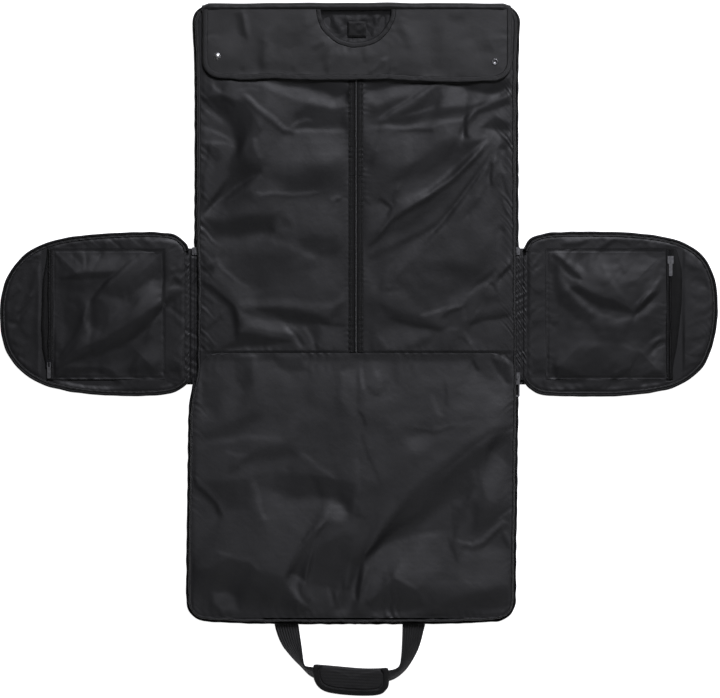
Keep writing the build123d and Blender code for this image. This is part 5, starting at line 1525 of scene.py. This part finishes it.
    # gusset at the hinge, from under the bag's binding to the wing's seam
    gy0, gy1 = (-116.0, 100.0) if sx < 0 else (-112.0, 100.0)
    xs_ = np.sort(sx * axis_points(264.5, 291.0, 0.9))
    ys_ = axis_points(gy0, gy1, 1.4)
    X, Y = np.meshgrid(xs_, ys_, indexing="ij")
    ax = np.abs(X)
    q = ax - 264.5
    z = 9.2 - 1.0 * np.exp(-((ax - 283.5) / 1.8) ** 2) - 0.45 * np.exp(-((ax - 268.0) / 1.4) ** 2) - 0.35 * np.exp(-((ax - 276.0) / 1.2) ** 2)
    diag = run1d(Y + 1.6 * q * (1 if sx < 0 else 1), 6, 14, 230 + sx)
    pat = 0.2 + 0.8 * smooth(0.5 + run1d(Y, 30, 80, 260 + sx))
    z += 0.36 * pat * diag * smooth(q / 3) * smooth((ax.max() - ax) / 4)
    z += 0.17 * run1d(Y - 0.5 * q, 9, 22, 240 + sx)
    ends = smooth((Y - gy0) / 6) * smooth((gy1 - Y) / 6)
    z = 6.5 + (z - 6.5) * (0.8 + 0.2 * ends)
    gs = attr_sheet(f"gusset_{side}", np.stack([X, Y, z], -1), M["wing"], 0.5)
    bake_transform(gs)
    # its lining underneath, joining the two shells
    X, Y = np.meshgrid(np.sort(sx * axis_points(272.0, 292.0, 1.6)), axis_points(-120.0, 112.0, 4.0), indexing="ij")
    P = np.stack([X, Y, 2.2 + 0.5 * waves(X, Y, 12, 40, 251, 12)], -1)
    gu = attr_sheet(f"gusset_{side}_under", P, M["shell"], 0.6)
    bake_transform(gu)


# ------------------------------------------------------------------ the top flap
NOTCH_W, NOTCH_D = 60.0, 57.0
ROOT_Y = 517.0
BOT = np.array([(-262, 400), (-230, 401.0), (-187, 397.6), (-144, 400.6), (-101, 398.4), (-59, 397.6), (0, 398.2), (54, 399.0), (91, 396.8), (130, 395.0), (170, 393.8), (205, 395.2), (262, 397)], float)
FX0, FX1 = -259.5, 264.5
FLAP_STROKES = [
    (-0.95, 4, [(-196, 514), (-193, 488), (-186, 467)]),
    (0.7, 5, [(-188, 512), (-185, 488), (-180, 466)]),
    (-0.55, 4, [(-203, 512), (-200, 490), (-193, 470)]),
    (-0.9, 7, [(-153, 467), (-161, 448), (-163, 431), (-159, 414)]),
    (0.55, 8, [(-142, 462), (-149, 442), (-150, 424)]),
    (-0.7, 4, [(-194, 413), (-190, 421)]),
    (-0.7, 5, [(-74, 448), (-62, 455), (-52, 461)]),
    (0.6, 4, [(-76, 455), (-64, 462)]),
    (-0.6, 6, [(-41, 457), (-50, 444), (-61, 428)]),
    (0.5, 6, [(-32, 452), (-40, 438), (-50, 424)]),
    (-0.7, 3.5, [(-108, 420), (-108, 409)]),
    (-0.6, 3.5, [(-52, 419), (-50, 408)]),
    (-0.6, 4, [(12, 452), (14, 438), (16, 424)]),
    (0.7, 3.5, [(22, 412), (32, 421), (43, 432), (58, 437)]),
    (-0.55, 4, [(28, 410), (38, 419), (50, 428)]),
    (-0.6, 4, [(56, 412), (62, 416), (69, 419)]),
    (0.4, 18, [(108, 500), (112, 460), (108, 420)]),
    (-0.45, 14, [(138, 490), (140, 450), (138, 410)]),
    (-0.55, 11, [(158, 507), (170, 503), (184, 506)]),
    (-0.45, 12, [(206, 446), (220, 450), (232, 456)]),
    (0.35, 20, [(190, 470), (200, 440), (192, 416)]),
    (-0.3, 18, [(-110, 480), (-106, 450)]),
    (0.3, 24, [(-230, 480), (-226, 440)]),
    (-0.4, 8, [(70, 488), (84, 470), (90, 450)]),
    (0.4, 8, [(82, 494), (96, 476), (104, 456)]),
    (-0.4, 7, [(-84, 492), (-96, 474), (-102, 452)]),
]
rel_flap = Relief(-266, 266, 392, 520, FLAP_STROKES, slope=0.19, seed=88, grain=0.10, cap=3.0, grain_low=18, grain_high=80, soft=0.2)


def flap_bottom(x):
    r = 31.0
    base = np.interp(x, BOT[:, 0], BOT[:, 1])
    inner = np.minimum(x - FX0, FX1 - x)
    k = np.clip(r - inner, 0, r)
    return base + (r - np.sqrt(np.clip(r ** 2 - k ** 2, 0, None)))


def flap_top(x):
    t = np.clip(1 - (x / NOTCH_W) ** 2, 0, 1)
    return ROOT_Y - NOTCH_D * np.sqrt(t)


xs = axis_points(FX0, FX1, 2.4, (-NOTCH_W, NOTCH_W, 0.0))
near = np.concatenate([FX0 + np.array([0.3, 0.8, 1.5]), FX1 - np.array([0.3, 0.8, 1.5]), -NOTCH_W + np.array([0.25, 0.7, 1.4]), NOTCH_W - np.array([0.25, 0.7, 1.4])])
xs = np.unique(np.concatenate([xs, near]))
vv = np.linspace(0, 1, 54)
X = np.repeat(xs[:, None], len(vv), 1)
Y = flap_top(xs)[:, None] * (1 - vv) + flap_bottom(xs)[:, None] * vv


def flap_z(x, y):
    d_b = y - flap_bottom(x)
    d_s = np.minimum(x - FX0, FX1 - x)
    dn = np.hypot(x, (y - ROOT_Y) * NOTCH_W / NOTCH_D) - NOTCH_W
    d = np.minimum(d_b, d_s)
    z = 25.1 + rel_flap(x, y) * smooth(d / 14) * smooth(dn / 10)
    z = z + pucker(x, d_b, 301, 12, 34, 0.8, 11) + pucker(y, d_s, 303, 12, 30, 0.5, 9)
    ang = np.arctan2((ROOT_Y - y) * NOTCH_W / NOTCH_D, x) * 60
    z = z + pucker(ang, np.maximum(dn, 0), 305, 10, 30, 0.8, 16)
    z = z + 0.05 * waves(x, y, 12, 34, 307, 22)
    z = z + 0.9 * smooth(d / 45) * smooth(dn / 30)
    return z


P = np.stack([X, Y, flap_z(X, Y)], -1)
flap = attr_sheet("flap_panel", P, M["flap"], 0.9)
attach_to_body(flap, "top_flap")
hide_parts("top_flap_panel")

# binding round the free edges and round the notch
xb = np.unique(np.concatenate([np.linspace(FX0, FX1, 200), FX0 + 31 * (1 - np.cos(np.linspace(0, math.pi / 2, 16))), FX1 - 31 * (1 - np.cos(np.linspace(0, math.pi / 2, 16)))]))
edge = np.stack([xb, flap_bottom(xb), np.zeros_like(xb)], -1)
left_run = np.array([(FX0, ROOT_Y, 0.0)])
right_run = np.array([(FX1, ROOT_Y, 0.0)])
path = resample(np.concatenate([left_run, edge, right_run]), 1.4)
# travelling down the left side, right along the bottom, up the right side: the flap lies to the left
BINDP = [(0.9, 0.0), (0.6, 0.7), (-0.8, 1.1), (-3.0, 1.2), (-5.6, 1.2), (-7.6, 1.15), (-8.2, 0.5), (-8.0, -0.6), (-4.0, -1.3), (-0.4, -1.1)]
parts = []


def flap_binding(path, seed, flip=1.0, wide=1.0):
    pth, t, sd_, up_ = path_frames(path)
    inner = pth + sd_ * (-4.0 * flip)
    base = path.copy()
    base[:, 2] = 25.0 + 0.5 * (flap_z(inner[:, 0], inner[:, 1]) - 25.0)
    prof = np.array(BINDP)
    prof[:, 0] *= flip * wide
    V, F, sh = sweep(base, prof, wobble=lambda s, u, v: (0.25 * run1d(s, 20, 60, seed), 0.15 * run1d(s + 0.5 * np.abs(u), 12, 30, seed + 1) * smooth((np.abs(u) - 1) / 5)))
    out = [(V, capped(V, F, sh), 2 if flip < 0 else 0)]
    st = base + sd_ * (-6.4 * flip * wide)
    st[:, 2] += 1.2 + 0.15 * run1d(along(base) + 3.2, 12, 30, seed + 1)
    V, F = stitches(st, None, 2.6, 0.8, 1.3, 0.3)
    out.append((V, F, 1))
    return out


parts += flap_binding(path, 311)
a = np.linspace(math.pi, 2 * math.pi, 90)
notch_path = np.stack([NOTCH_W * np.cos(a), ROOT_Y + NOTCH_D * np.sin(a), np.zeros_like(a)], -1)
notch_path = resample(np.concatenate([notch_path]), 1.4)
parts += flap_binding(notch_path, 321, flip=-1.0, wide=0.95)
V, F, mi = join_parts(parts)
fb = quads_mesh("flap_edge", V, F, [M["flap_tape"], M["thread"], M["band"]], mi)
bm_fix(fb)
flat_own(fb)
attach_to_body(fb, "top_flap")
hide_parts("top_flap_binding")

# the rolled band that carries the flap along the bag's end
for nm, x0, x1 in (("flap_root_left", -262.0, 0.0), ("flap_root_right", 0.0, 263.0)):
    xs_ = axis_points(x0, x1, 2.0)
    sec = np.array([(515.5, 25.2), (517.2, 25.7), (519.0, 26.9), (521.5, 27.2), (524.0, 26.6), (526.4, 24.6), (527.9, 21.5), (528.4, 18.0), (528.0, 14.0), (527.2, 10.5), (526.3, 7.0)])
    X = np.repeat(xs_[:, None], len(sec), 1)
    s_ = np.arange(len(sec))[None]
    bow = 1.6 * (1 - (X / 262) ** 2) - 0.8
    rnd = 7.0 * (1 - smooth((262.5 - np.abs(X)) / 14))
    Y = sec[None, :, 0] + bow + 0.5 * run1d(X, 60, 160, 331) - rnd * 0.45
    Z = sec[None, :, 1] + 0.18 * run1d(X + 2.0 * s_, 14, 40, 332) * smooth(s_ / 2) - rnd * 0.5
    P = np.stack([X, Y, Z], -1)
    N = grid_normals(P)
    if N[len(xs_) // 2, 3, 2] < 0:
        N = -N
    F = grid_faces(*X.shape)
    V = P.reshape(-1, 3)
    k = F[len(F) // 2 - 4]
    if np.dot(np.cross(V[k[1]] - V[k[0]], V[k[2]] - V[k[0]]), N.reshape(-1, 3)[k[0]]) < 0:
        F = F[:, ::-1]
    V2, F2, _ = thicken(V, F, N.reshape(-1, 3), 0.8)
    rb = quads_mesh(nm, V2, F2, M["band"], vn=np.concatenate([N.reshape(-1, 3), -N.reshape(-1, 3)]))
    flat_own(rb)
    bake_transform(rb)

# inside the notch: the head of the covers, gathered above the zip's end
xs_ = axis_points(-70.0, 70.0, 1.8)
ys_ = axis_points(452.0, 518.0, 1.8)
X, Y = np.meshgrid(xs_, ys_, indexing="ij")
yk = Relief(-72, 72, 450, 520, [
    (-0.9, 5, [(-46, 512), (-40, 494), (-30, 478)]), (0.8, 5, [(-38, 514), (-30, 496), (-22, 484)]),
    (-0.8, 5, [(26, 512), (30, 496), (28, 478)]), (0.9, 5, [(34, 512), (38, 494), (36, 476)]),
    (0.7, 4, [(-54, 500), (-46, 484)]), (-0.8, 5, [(48, 508), (46, 490)]),
    (0.6, 6, [(-20, 508), (0, 505), (22, 508)]), (-0.8, 6, [(-24, 498), (0, 497), (24, 499)]),
    (0.5, 5, [(-22, 466), (0, 463), (20, 466)])], slope=0.2, seed=90, grain=0.5, cap=3.0, grain_low=8, grain_high=26)
Z = 18.9 + 0.8 * yk(X, Y) * smooth((70 - np.abs(X)) / 6)
Z = np.clip(Z + 2.6 * smooth((Y - 508.0) / 8.0), 17.9, 22.6)
yoke = attr_sheet("cover_head", np.stack([X, Y, Z], -1), M["lining"], 0.5)
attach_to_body(yoke, "upper_roof")


# ------------------------------------------------------------------ snaps
def lathe(cx, cy, prof, n=36):
    a_ = np.linspace(0, 2 * math.pi, n, endpoint=False)
    prof = np.asarray(prof, float)
    P_ = np.stack([cx + prof[:, None, 0] * np.cos(a_), cy + prof[:, None, 0] * np.sin(a_), np.repeat(prof[:, None, 1], n, 1)], -1)
    return P_.reshape(-1, 3), grid_faces(len(prof), n, True)


def snap(cx, cy, z, kind):
    if kind == "cap":
        V_, F_ = lathe(cx, cy, [(0.02, z + 2.3), (1.6, z + 2.25), (3.1, z + 2.0), (4.4, z + 1.5), (5.2, z + 0.9), (5.5, z + 0.45), (5.75, z + 0.5), (6.1, z + 0.35), (6.1, z - 0.3), (0.02, z - 0.3)])
        return V_, F_
    V_, F_ = lathe(cx, cy, [(0.02, z + 0.2), (2.6, z + 0.15), (2.9, z + 0.5), (3.3, z + 1.3), (4.2, z + 1.7), (5.1, z + 1.45), (5.7, z + 0.6), (5.9, z + 0.1), (5.9, z - 0.4), (0.02, z - 0.4)])
    return V_, F_


zc = float(flap_z(np.array(-236.0), np.array(437.0)))
zr = float(flap_z(np.array(236.0), np.array(428.0)))
V1, F1_ = snap(-236.0, 437.0, zc + 0.2, "cap")
V2_, F2_ = snap(236.0, 428.0, zr + 0.2, "ring")
V, F, mi = join_parts([(V1, F1_, 0), (V2_, F2_, 1)])
caps = quads_mesh("snap_caps_shown", V, F, [M["snap"], M["metal"]], mi)
bm_fix(caps)
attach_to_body(caps, "top_flap")
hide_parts("snap_caps")


# ------------------------------------------------------------------ lower handle
def ribbon(path, half, thick, arch, tilt=None, nw=15, seed=401):
    """A webbing strap along a path: half widths in plan, arched across and tilted."""
    path = np.asarray(path, float)
    pth, t, sd_, up_ = path_frames(path)
    w = np.linspace(-1, 1, nw)
    half = np.asarray(half)[:, None]
    arch = np.asarray(arch)[:, None]
    tl = np.zeros((len(path), 1)) if tilt is None else np.asarray(tilt)[:, None]
    off = w[None] * half
    z = arch * (1 - w[None] ** 2) + tl * w[None]
    top = pth[:, None, :] + sd_[:, None, :] * off[..., None]
    top[..., 2] += z
    n_ = grid_normals(top)
    n_ = np.where(n_[..., 2:3] < 0, -n_, n_)
    bot = top - n_ * thick
    ring = np.concatenate([top, bot[:, ::-1]], 1)
    F_ = grid_faces(len(path), ring.shape[1], True)
    F_ = capped(None, F_, (len(path), ring.shape[1]))
    flat_s = along(path)
    fx = np.concatenate([w, w[::-1]])[None] * 19.0 + 0 * flat_s[:, None]
    fy = np.repeat(flat_s[:, None], ring.shape[1], 1)
    return ring.reshape(-1, 3), F_, np.stack([fx, fy], -1).reshape(-1, 2)


legs = {
    "left": ([(-139.1, -518.5), (-139.1, -524.5), (-137.1, -535.8), (-132, -551.4), (-125, -565.5), (-117.9, -575), (-106.5, -588.2), (-95.2, -599.5), (-85.3, -610.0), (-75.9, -617.5), (-60, -624)],
             [(-99.5, -518.5), (-98.6, -524.5), (-95.8, -542.9), (-92.4, -565.5), (-89.8, -585.4), (-88.2, -594.5), (-86, -598.2), (-81.6, -599.6), (-72.5, -600.6), (-66, -601.4), (-60, -602)]),
    "right": ([(117.5, -518.5), (117.9, -527.3), (115, -540), (111.6, -554.2), (106.5, -569.8), (100.3, -582.5), (91.8, -596.7), (83.3, -607.5), (72, -617.4), (60.6, -623.4), (44, -628)],
              [(79.4, -518.5), (79.1, -524.5), (78.8, -542.9), (77.6, -571.2), (76.0, -588.2), (74.4, -595.6), (71.4, -600.6), (66, -603.6), (59.2, -605.4), (52, -606.2), (44, -607)]),
}
Vs, Fs, fl, off = [], [], [], 0
for side, (outer, inner) in legs.items():
    eo, ei = resample(catmull(outer, 10), 0.8), resample(catmull(inner, 10), 0.8)
    n_ = 110
    t_ = np.linspace(0, 1, n_)
    so, si = np.linspace(0, 1, len(eo)), np.linspace(0, 1, len(ei))
    eo = np.stack([np.interp(t_, so, eo[:, k]) for k in (0, 1)], -1)
    ei = np.stack([np.interp(t_, si, ei[:, k]) for k in (0, 1)], -1)
    w_ = np.linspace(-1, 1, 17)
    XY = eo[:, None] * (0.5 - 0.5 * w_[None, :, None]) + ei[:, None] * (0.5 + 0.5 * w_[None, :, None])
    zc_ = np.interp(t_, [0, 0.15, 0.35, 0.55, 0.75, 0.9, 1.0], [3.0, 3.2, 4.2, 5.6, 7.4, 8.4, 7.6])
    arch_ = np.interp(t_, [0, 0.2, 0.5, 0.75, 1.0], [1.0, 1.2, 2.2, 3.4, 2.6])
    tilt_ = np.interp(t_, [0, 0.2, 0.5, 0.8, 1.0], [0.0, 0.3, 1.4, 2.4, 0.5])
    Z_ = zc_[:, None] + arch_[:, None] * (1 - w_[None] ** 2) + tilt_[:, None] * w_[None]
    top = np.concatenate([XY, Z_[..., None]], -1)
    nn_ = grid_normals(top)
    nn_ = np.where(nn_[..., 2:3] < 0, -nn_, nn_)
    ring = np.concatenate([top, (top - nn_ * 1.7)[:, ::-1]], 1)
    F = capped(None, grid_faces(n_, ring.shape[1], True), (n_, ring.shape[1]))
    fx = np.concatenate([w_, w_[::-1]])[None] * 19.0 + 0 * t_[:, None]
    fy = np.repeat(t_[:, None] * 125.0, ring.shape[1], 1)
    Vs.append(ring.reshape(-1, 3)); Fs.append(F + off); fl.append(np.stack([fx, fy], -1).reshape(-1, 2))
    off += len(Vs[-1])
lh = quads_mesh("lower_handle_straps", np.concatenate(Vs), np.concatenate(Fs), M["webbing"])
bm_fix(lh)
set_flat(lh, np.concatenate(fl))
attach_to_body(lh, "lower_handle")
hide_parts("lower_handle_webbing")

GRIP_OUT = [(-69.3, -596.4), (-54.5, -597.2), (-34, -599), (-12.4, -601), (5, -602.4), (19, -603), (38, -602.8), (51, -602), (55.2, -605), (56.2, -620), (55.5, -633), (50.5, -640.5), (43.3, -646.4), (29.6, -649.2), (8, -649.6),
            (-12.4, -648.6), (-32, -646.6), (-50.3, -643), (-63, -635.8), (-70.8, -624), (-73.6, -610), (-72.8, -599.5)]
g_out = resample(catmull(GRIP_OUT, 8, closed=True), 1.6)
gc = np.array([-8.5, -623.0])


def grip_layer(name, z_mid, z_top, z_low, mat, body, rep, bound):
    g2 = g_out
    rr_ = np.linspace(0, 1, 44) ** 0.75
    rr_[0] = 0.004
    G_ = gc + (g2[None] - gc) * rr_[:, None, None]
    d_ = (1 - rr_)[:, None] * np.linalg.norm(g2 - gc, axis=1)[None]
    x_, y_ = G_[..., 0], G_[..., 1]
    edge_ = np.sqrt(np.clip(1 - (1 - np.clip(d_ / 5.0, 0, 1)) ** 2, 0, 1))
    body_z = z_mid + (z_top - z_mid) * (0.8 * edge_ + 0.2 * smooth(d_ / 22))
    a_ = math.radians(-3)
    yl = (x_ + 2.5) * -math.sin(a_) + (y_ + 621.5) * math.cos(a_)
    xl = (x_ + 2.5) * math.cos(a_) + (y_ + 621.5) * math.sin(a_)
    low_run = g2[(g2[:, 1] < -606.5) | (np.abs(g2[:, 0] + 8.5) > 60)]
    k0_ = int(np.argmax(np.linalg.norm(np.diff(np.concatenate([low_run, low_run[:1]]), axis=0), axis=1))) + 1
    low_run = np.roll(low_run, -k0_, axis=0)
    low_run = np.concatenate([low_run[:1] + [[0, 14.0]], low_run, low_run[-1:] + [[0, 14.0]]])
    dd = to_line(x_, y_, low_run)[0]
    inn = 10.4
    if bound:
        # binding round three sides, the fold at the top is plain, and a quilted panel inside it
        body_z = body_z + 0.5 * (1 - smooth((dd - inn + 1.0) / 1.4)) - 1.5 * np.exp(-((dd - inn - 0.2) / 1.1) ** 2)
        body_z = body_z + 0.06 * np.sin(2 * math.pi * yl / 5.2) * smooth((dd - inn) / 4)
        body_z = body_z + 0.12 * waves(x_, y_, 9, 30, 411, 20) * smooth(dd / 6)
    m_ = len(g2)
    low_z = z_mid + (z_low - z_mid) * edge_
    Pt_ = np.concatenate([np.stack([x_, y_, body_z], -1), np.stack([x_, y_, low_z], -1)[::-1][1:]])
    F_ = grid_faces(Pt_.shape[0], m_, True)
    ring_of = np.concatenate([dd, dd[::-1][1:]])
    fm = ring_of.reshape(-1)[F_[:, 0]]
    yy_ = np.concatenate([yl, yl[::-1][1:]]).reshape(-1)[F_[:, 0]]
    xx_ = np.concatenate([xl, xl[::-1][1:]]).reshape(-1)[F_[:, 0]]
    mi_ = np.where(fm < inn, np.where(fm > inn - 1.8, 2, 1), 0) if bound else np.zeros(len(F_), int)
    ob_ = quads_mesh(name, Pt_.reshape(-1, 3), F_, [mat, M["grip_edge"], M["piping"]], mi_)
    bm_fix(ob_)
    flat_own(ob_)
    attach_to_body(ob_, body)
    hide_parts(rep)
    return ob_


M["grip_edge"] = fabric("grip_binding", grey(0.0050), grey(0.0072), rough=0.6, pitch=0.0012, bump=0.3, ribs=(0, 0.0016), spec=0.25)
grip_layer("grip_pad_shown", 4.6, 7.7, 1.6, M["grip"], "lower_handle", "grip_pad", False)
grip_layer("grip_wrap_shown", 9.6, 14.2, 7.9, M["grip"], "grip_wrap", "grip_flap", True)

# ------------------------------------------------------------------ upper handle, stowed below, and its anchors
up = [(-107, 520, 1.0), (-107, 490, 1.0), (-106.5, 460, 1.0), (-105, 442, 1.0), (-98, 428, 1.0), (-84, 421, 1.0), (-60, 420, 1.0), (0, 420, 1.0), (60, 420, 1.0), (84, 421, 1.0), (98, 428, 1.0), (105, 442, 1.0), (106.5, 460, 1.0), (107, 490, 1.0), (107, 520, 1.0)]
c = resample(catmull(np.array(up, float), 8), 2.5)
V, F, flat = ribbon(c, np.full(len(c), 15.5), 0.9, np.full(len(c), 0.3))
V[:, 2] = np.maximum(V[:, 2], 0.15)
uh = quads_mesh("upper_handle_strap", V, F, M["webbing"])
bm_fix(uh)
set_flat(uh, flat)
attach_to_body(uh, "upper_handle")
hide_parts("upper_handle_webbing")

# anchors: webbing stitched flat to the shell's underside
for name, body, sy in (("upper_handle_anchors", "upper_roof", 1), ("lower_handle_anchors", "lower_roof", -1)):
    parts = []
    lo, hi = span(name)
    for sx in (-1, 1):
        xs_ = axis_points(sx * 107 - 18.5, sx * 107 + 18.5, 2.0)
        ys_ = np.sort(sy * axis_points(400.0, 516.0, 2.5))
        X, Y = np.meshgrid(xs_, ys_, indexing="ij")
        Z = lo[2] + 1.25 + 0.12 * waves(X, Y, 10, 40, 421, 16)
        P = np.stack([X, Y, Z], -1)
        N = grid_normals(P)
        N = np.where(N[..., 2:3] < 0, -N, N)
        F = grid_faces(*X.shape)
        v = P.reshape(-1, 3)[F[0]]
        if np.cross(v[1] - v[0], v[2] - v[0])[2] < 0:
            F = F[:, ::-1]
        V2, F2, _ = thicken(P.reshape(-1, 3), F, N.reshape(-1, 3), 1.1)
        parts.append((V2, F2, 0))
    V, F, mi = join_parts(parts)
    ob = quads_mesh(name + "_shown", V, F, [M["webbing"]], mi)
    bm_fix(ob)
    flat_own(ob)
    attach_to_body(ob, body)
    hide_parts(name)

# hanger tab
parts = []
xs_ = axis_points(-14.5, 17.5, 1.2)
ys_ = axis_points(470.5, 497.0, 1.2)
X, Y = np.meshgrid(xs_, ys_, indexing="ij")
dt = np.minimum(np.minimum(X - X.min(), X.max() - X), np.minimum(Y - Y.min(), Y.max() - Y))
Z = 21.2 + 0.8 * smooth(dt / 3.0) + 0.35 * waves(X, Y, 10, 30, 431, 12)
P = np.stack([X, Y, Z], -1)
tab = attr_sheet("hanger_tab_shown", P, M["tab_cloth"] if "tab_cloth" in M else M["piping"], 1.2)
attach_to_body(tab, "upper_roof")
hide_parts("hanger_tab")

# ------------------------------------------------------------------ pieces kept from the frame
def dress(name, mat, bevel=0.0, segments=3):
    o = bpy.data.objects[name]
    o.data.materials.clear()
    o.data.materials.append(mat)
    if bevel:
        b = o.modifiers.new("soft edges", "BEVEL")
        b.width = bevel * MM
        b.segments = segments
        b.limit_method = "ANGLE"
        b.angle_limit = math.radians(35)
        b.harden_normals = False
    for p in o.data.polygons:
        p.use_smooth = False
    return o


dress("base_board", M["hidden"], 0.5, 2)
dress("snap_studs", M["snap"], 0.2)
for n_, kind in (("centre_zip", "dark_metal"), ("wing_left_pocket_zip", "dark_metal"), ("wing_right_pocket_zip", "metal"), ("side_zip_upper_left", "metal"), ("side_zip_upper_right", "metal"),
                 ("side_zip_lower_left", "dark_metal"), ("side_zip_lower_right", "metal"), ("end_zip", "dark_metal")):
    dress(n_ + "_slider", M[kind], 0.35)
for n_ in ("centre_zip", "wing_left_pocket_zip", "wing_right_pocket_zip", "side_zip_lower_left", "side_zip_lower_right"):
    dress(n_ + "_pull", M["metal"] if n_ in ("wing_right_pocket_zip", "side_zip_lower_right", "wing_left_pocket_zip") else M["pull"], 0.3)


# ------------------------------------------------------------------ floor, light, camera
def floor():
    s = Shader("paper_floor")
    v = s.coords(False)
    n = s.noise(v, 3.0, 3.0, 0.5)
    ramp = s.node("ShaderNodeValToRGB")
    ramp.color_ramp.elements[0].color = (0.86, 0.86, 0.86, 1)
    ramp.color_ramp.elements[1].color = (0.9, 0.9, 0.9, 1)
    s.put(ramp, Fac=n)
    s.put(s.b, Base_Color=ramp.outputs[0], Roughness=0.9)
    s.b.inputs["Emission Color"].default_value = (1, 1, 1, 1)
    s.b.inputs["Emission Strength"].default_value = 0.95
    V_ = np.array([(-6000, -6000, -0.6), (6000, -6000, -0.6), (6000, 6000, -0.6), (-6000, 6000, -0.6)], float)
    ob_ = quads_mesh("floor", V_, np.array([[0, 1, 2, 3]]), [s.m], smooth_shade=False)


floor()


def area(name, loc, target, size, power, colour=(1, 1, 1), size_y=None):
    li = bpy.data.lights.new(name, "AREA")
    li.shape = "RECTANGLE"
    li.size, li.size_y = size, size_y or size
    li.energy = power
    li.color = colour
    ob_ = bpy.data.objects.new(name, li)
    bpy.context.scene.collection.objects.link(ob_)
    ob_.location = loc
    d_ = Vector(target) - Vector(loc)
    ob_.rotation_euler = d_.to_track_quat("-Z", "Y").to_euler()
    return ob_


area("key", (1.25, 3.5, 4.9), (0.0, -0.4, 0.0), 1.7, 300.0, (0.985, 0.985, 1.075), 1.5)
area("foot", (0.6, -3.3, 5.2), (0.0, -0.5, 0.0), 1.8, 12.0, (0.98, 0.985, 1.0))
area("right", (4.4, 0.2, 3.6), (0.1, 0.0, 0.0), 1.8, 15.0, (0.97, 0.98, 1.0))

world = bpy.data.worlds.new("studio")
bpy.context.scene.world = world
world.use_nodes = True
world.node_tree.nodes["Background"].inputs[0].default_value = (1, 1, 1, 1)
world.node_tree.nodes["Background"].inputs[1].default_value = 0.07

cam = bpy.data.cameras.new("camera")
cam.type = "PERSP"
cam.lens = 200.0
cam.sensor_width = 36.0
cam_ob = bpy.data.objects.new("camera", cam)
bpy.context.scene.collection.objects.link(cam_ob)
cam_ob.location = (0.0068, -0.0595, 6.815)
cam_ob.rotation_euler = (0, 0, 0)
cam.clip_end = 50
bpy.context.scene.camera = cam_ob
bpy.context.scene.view_settings.view_transform = "Standard"
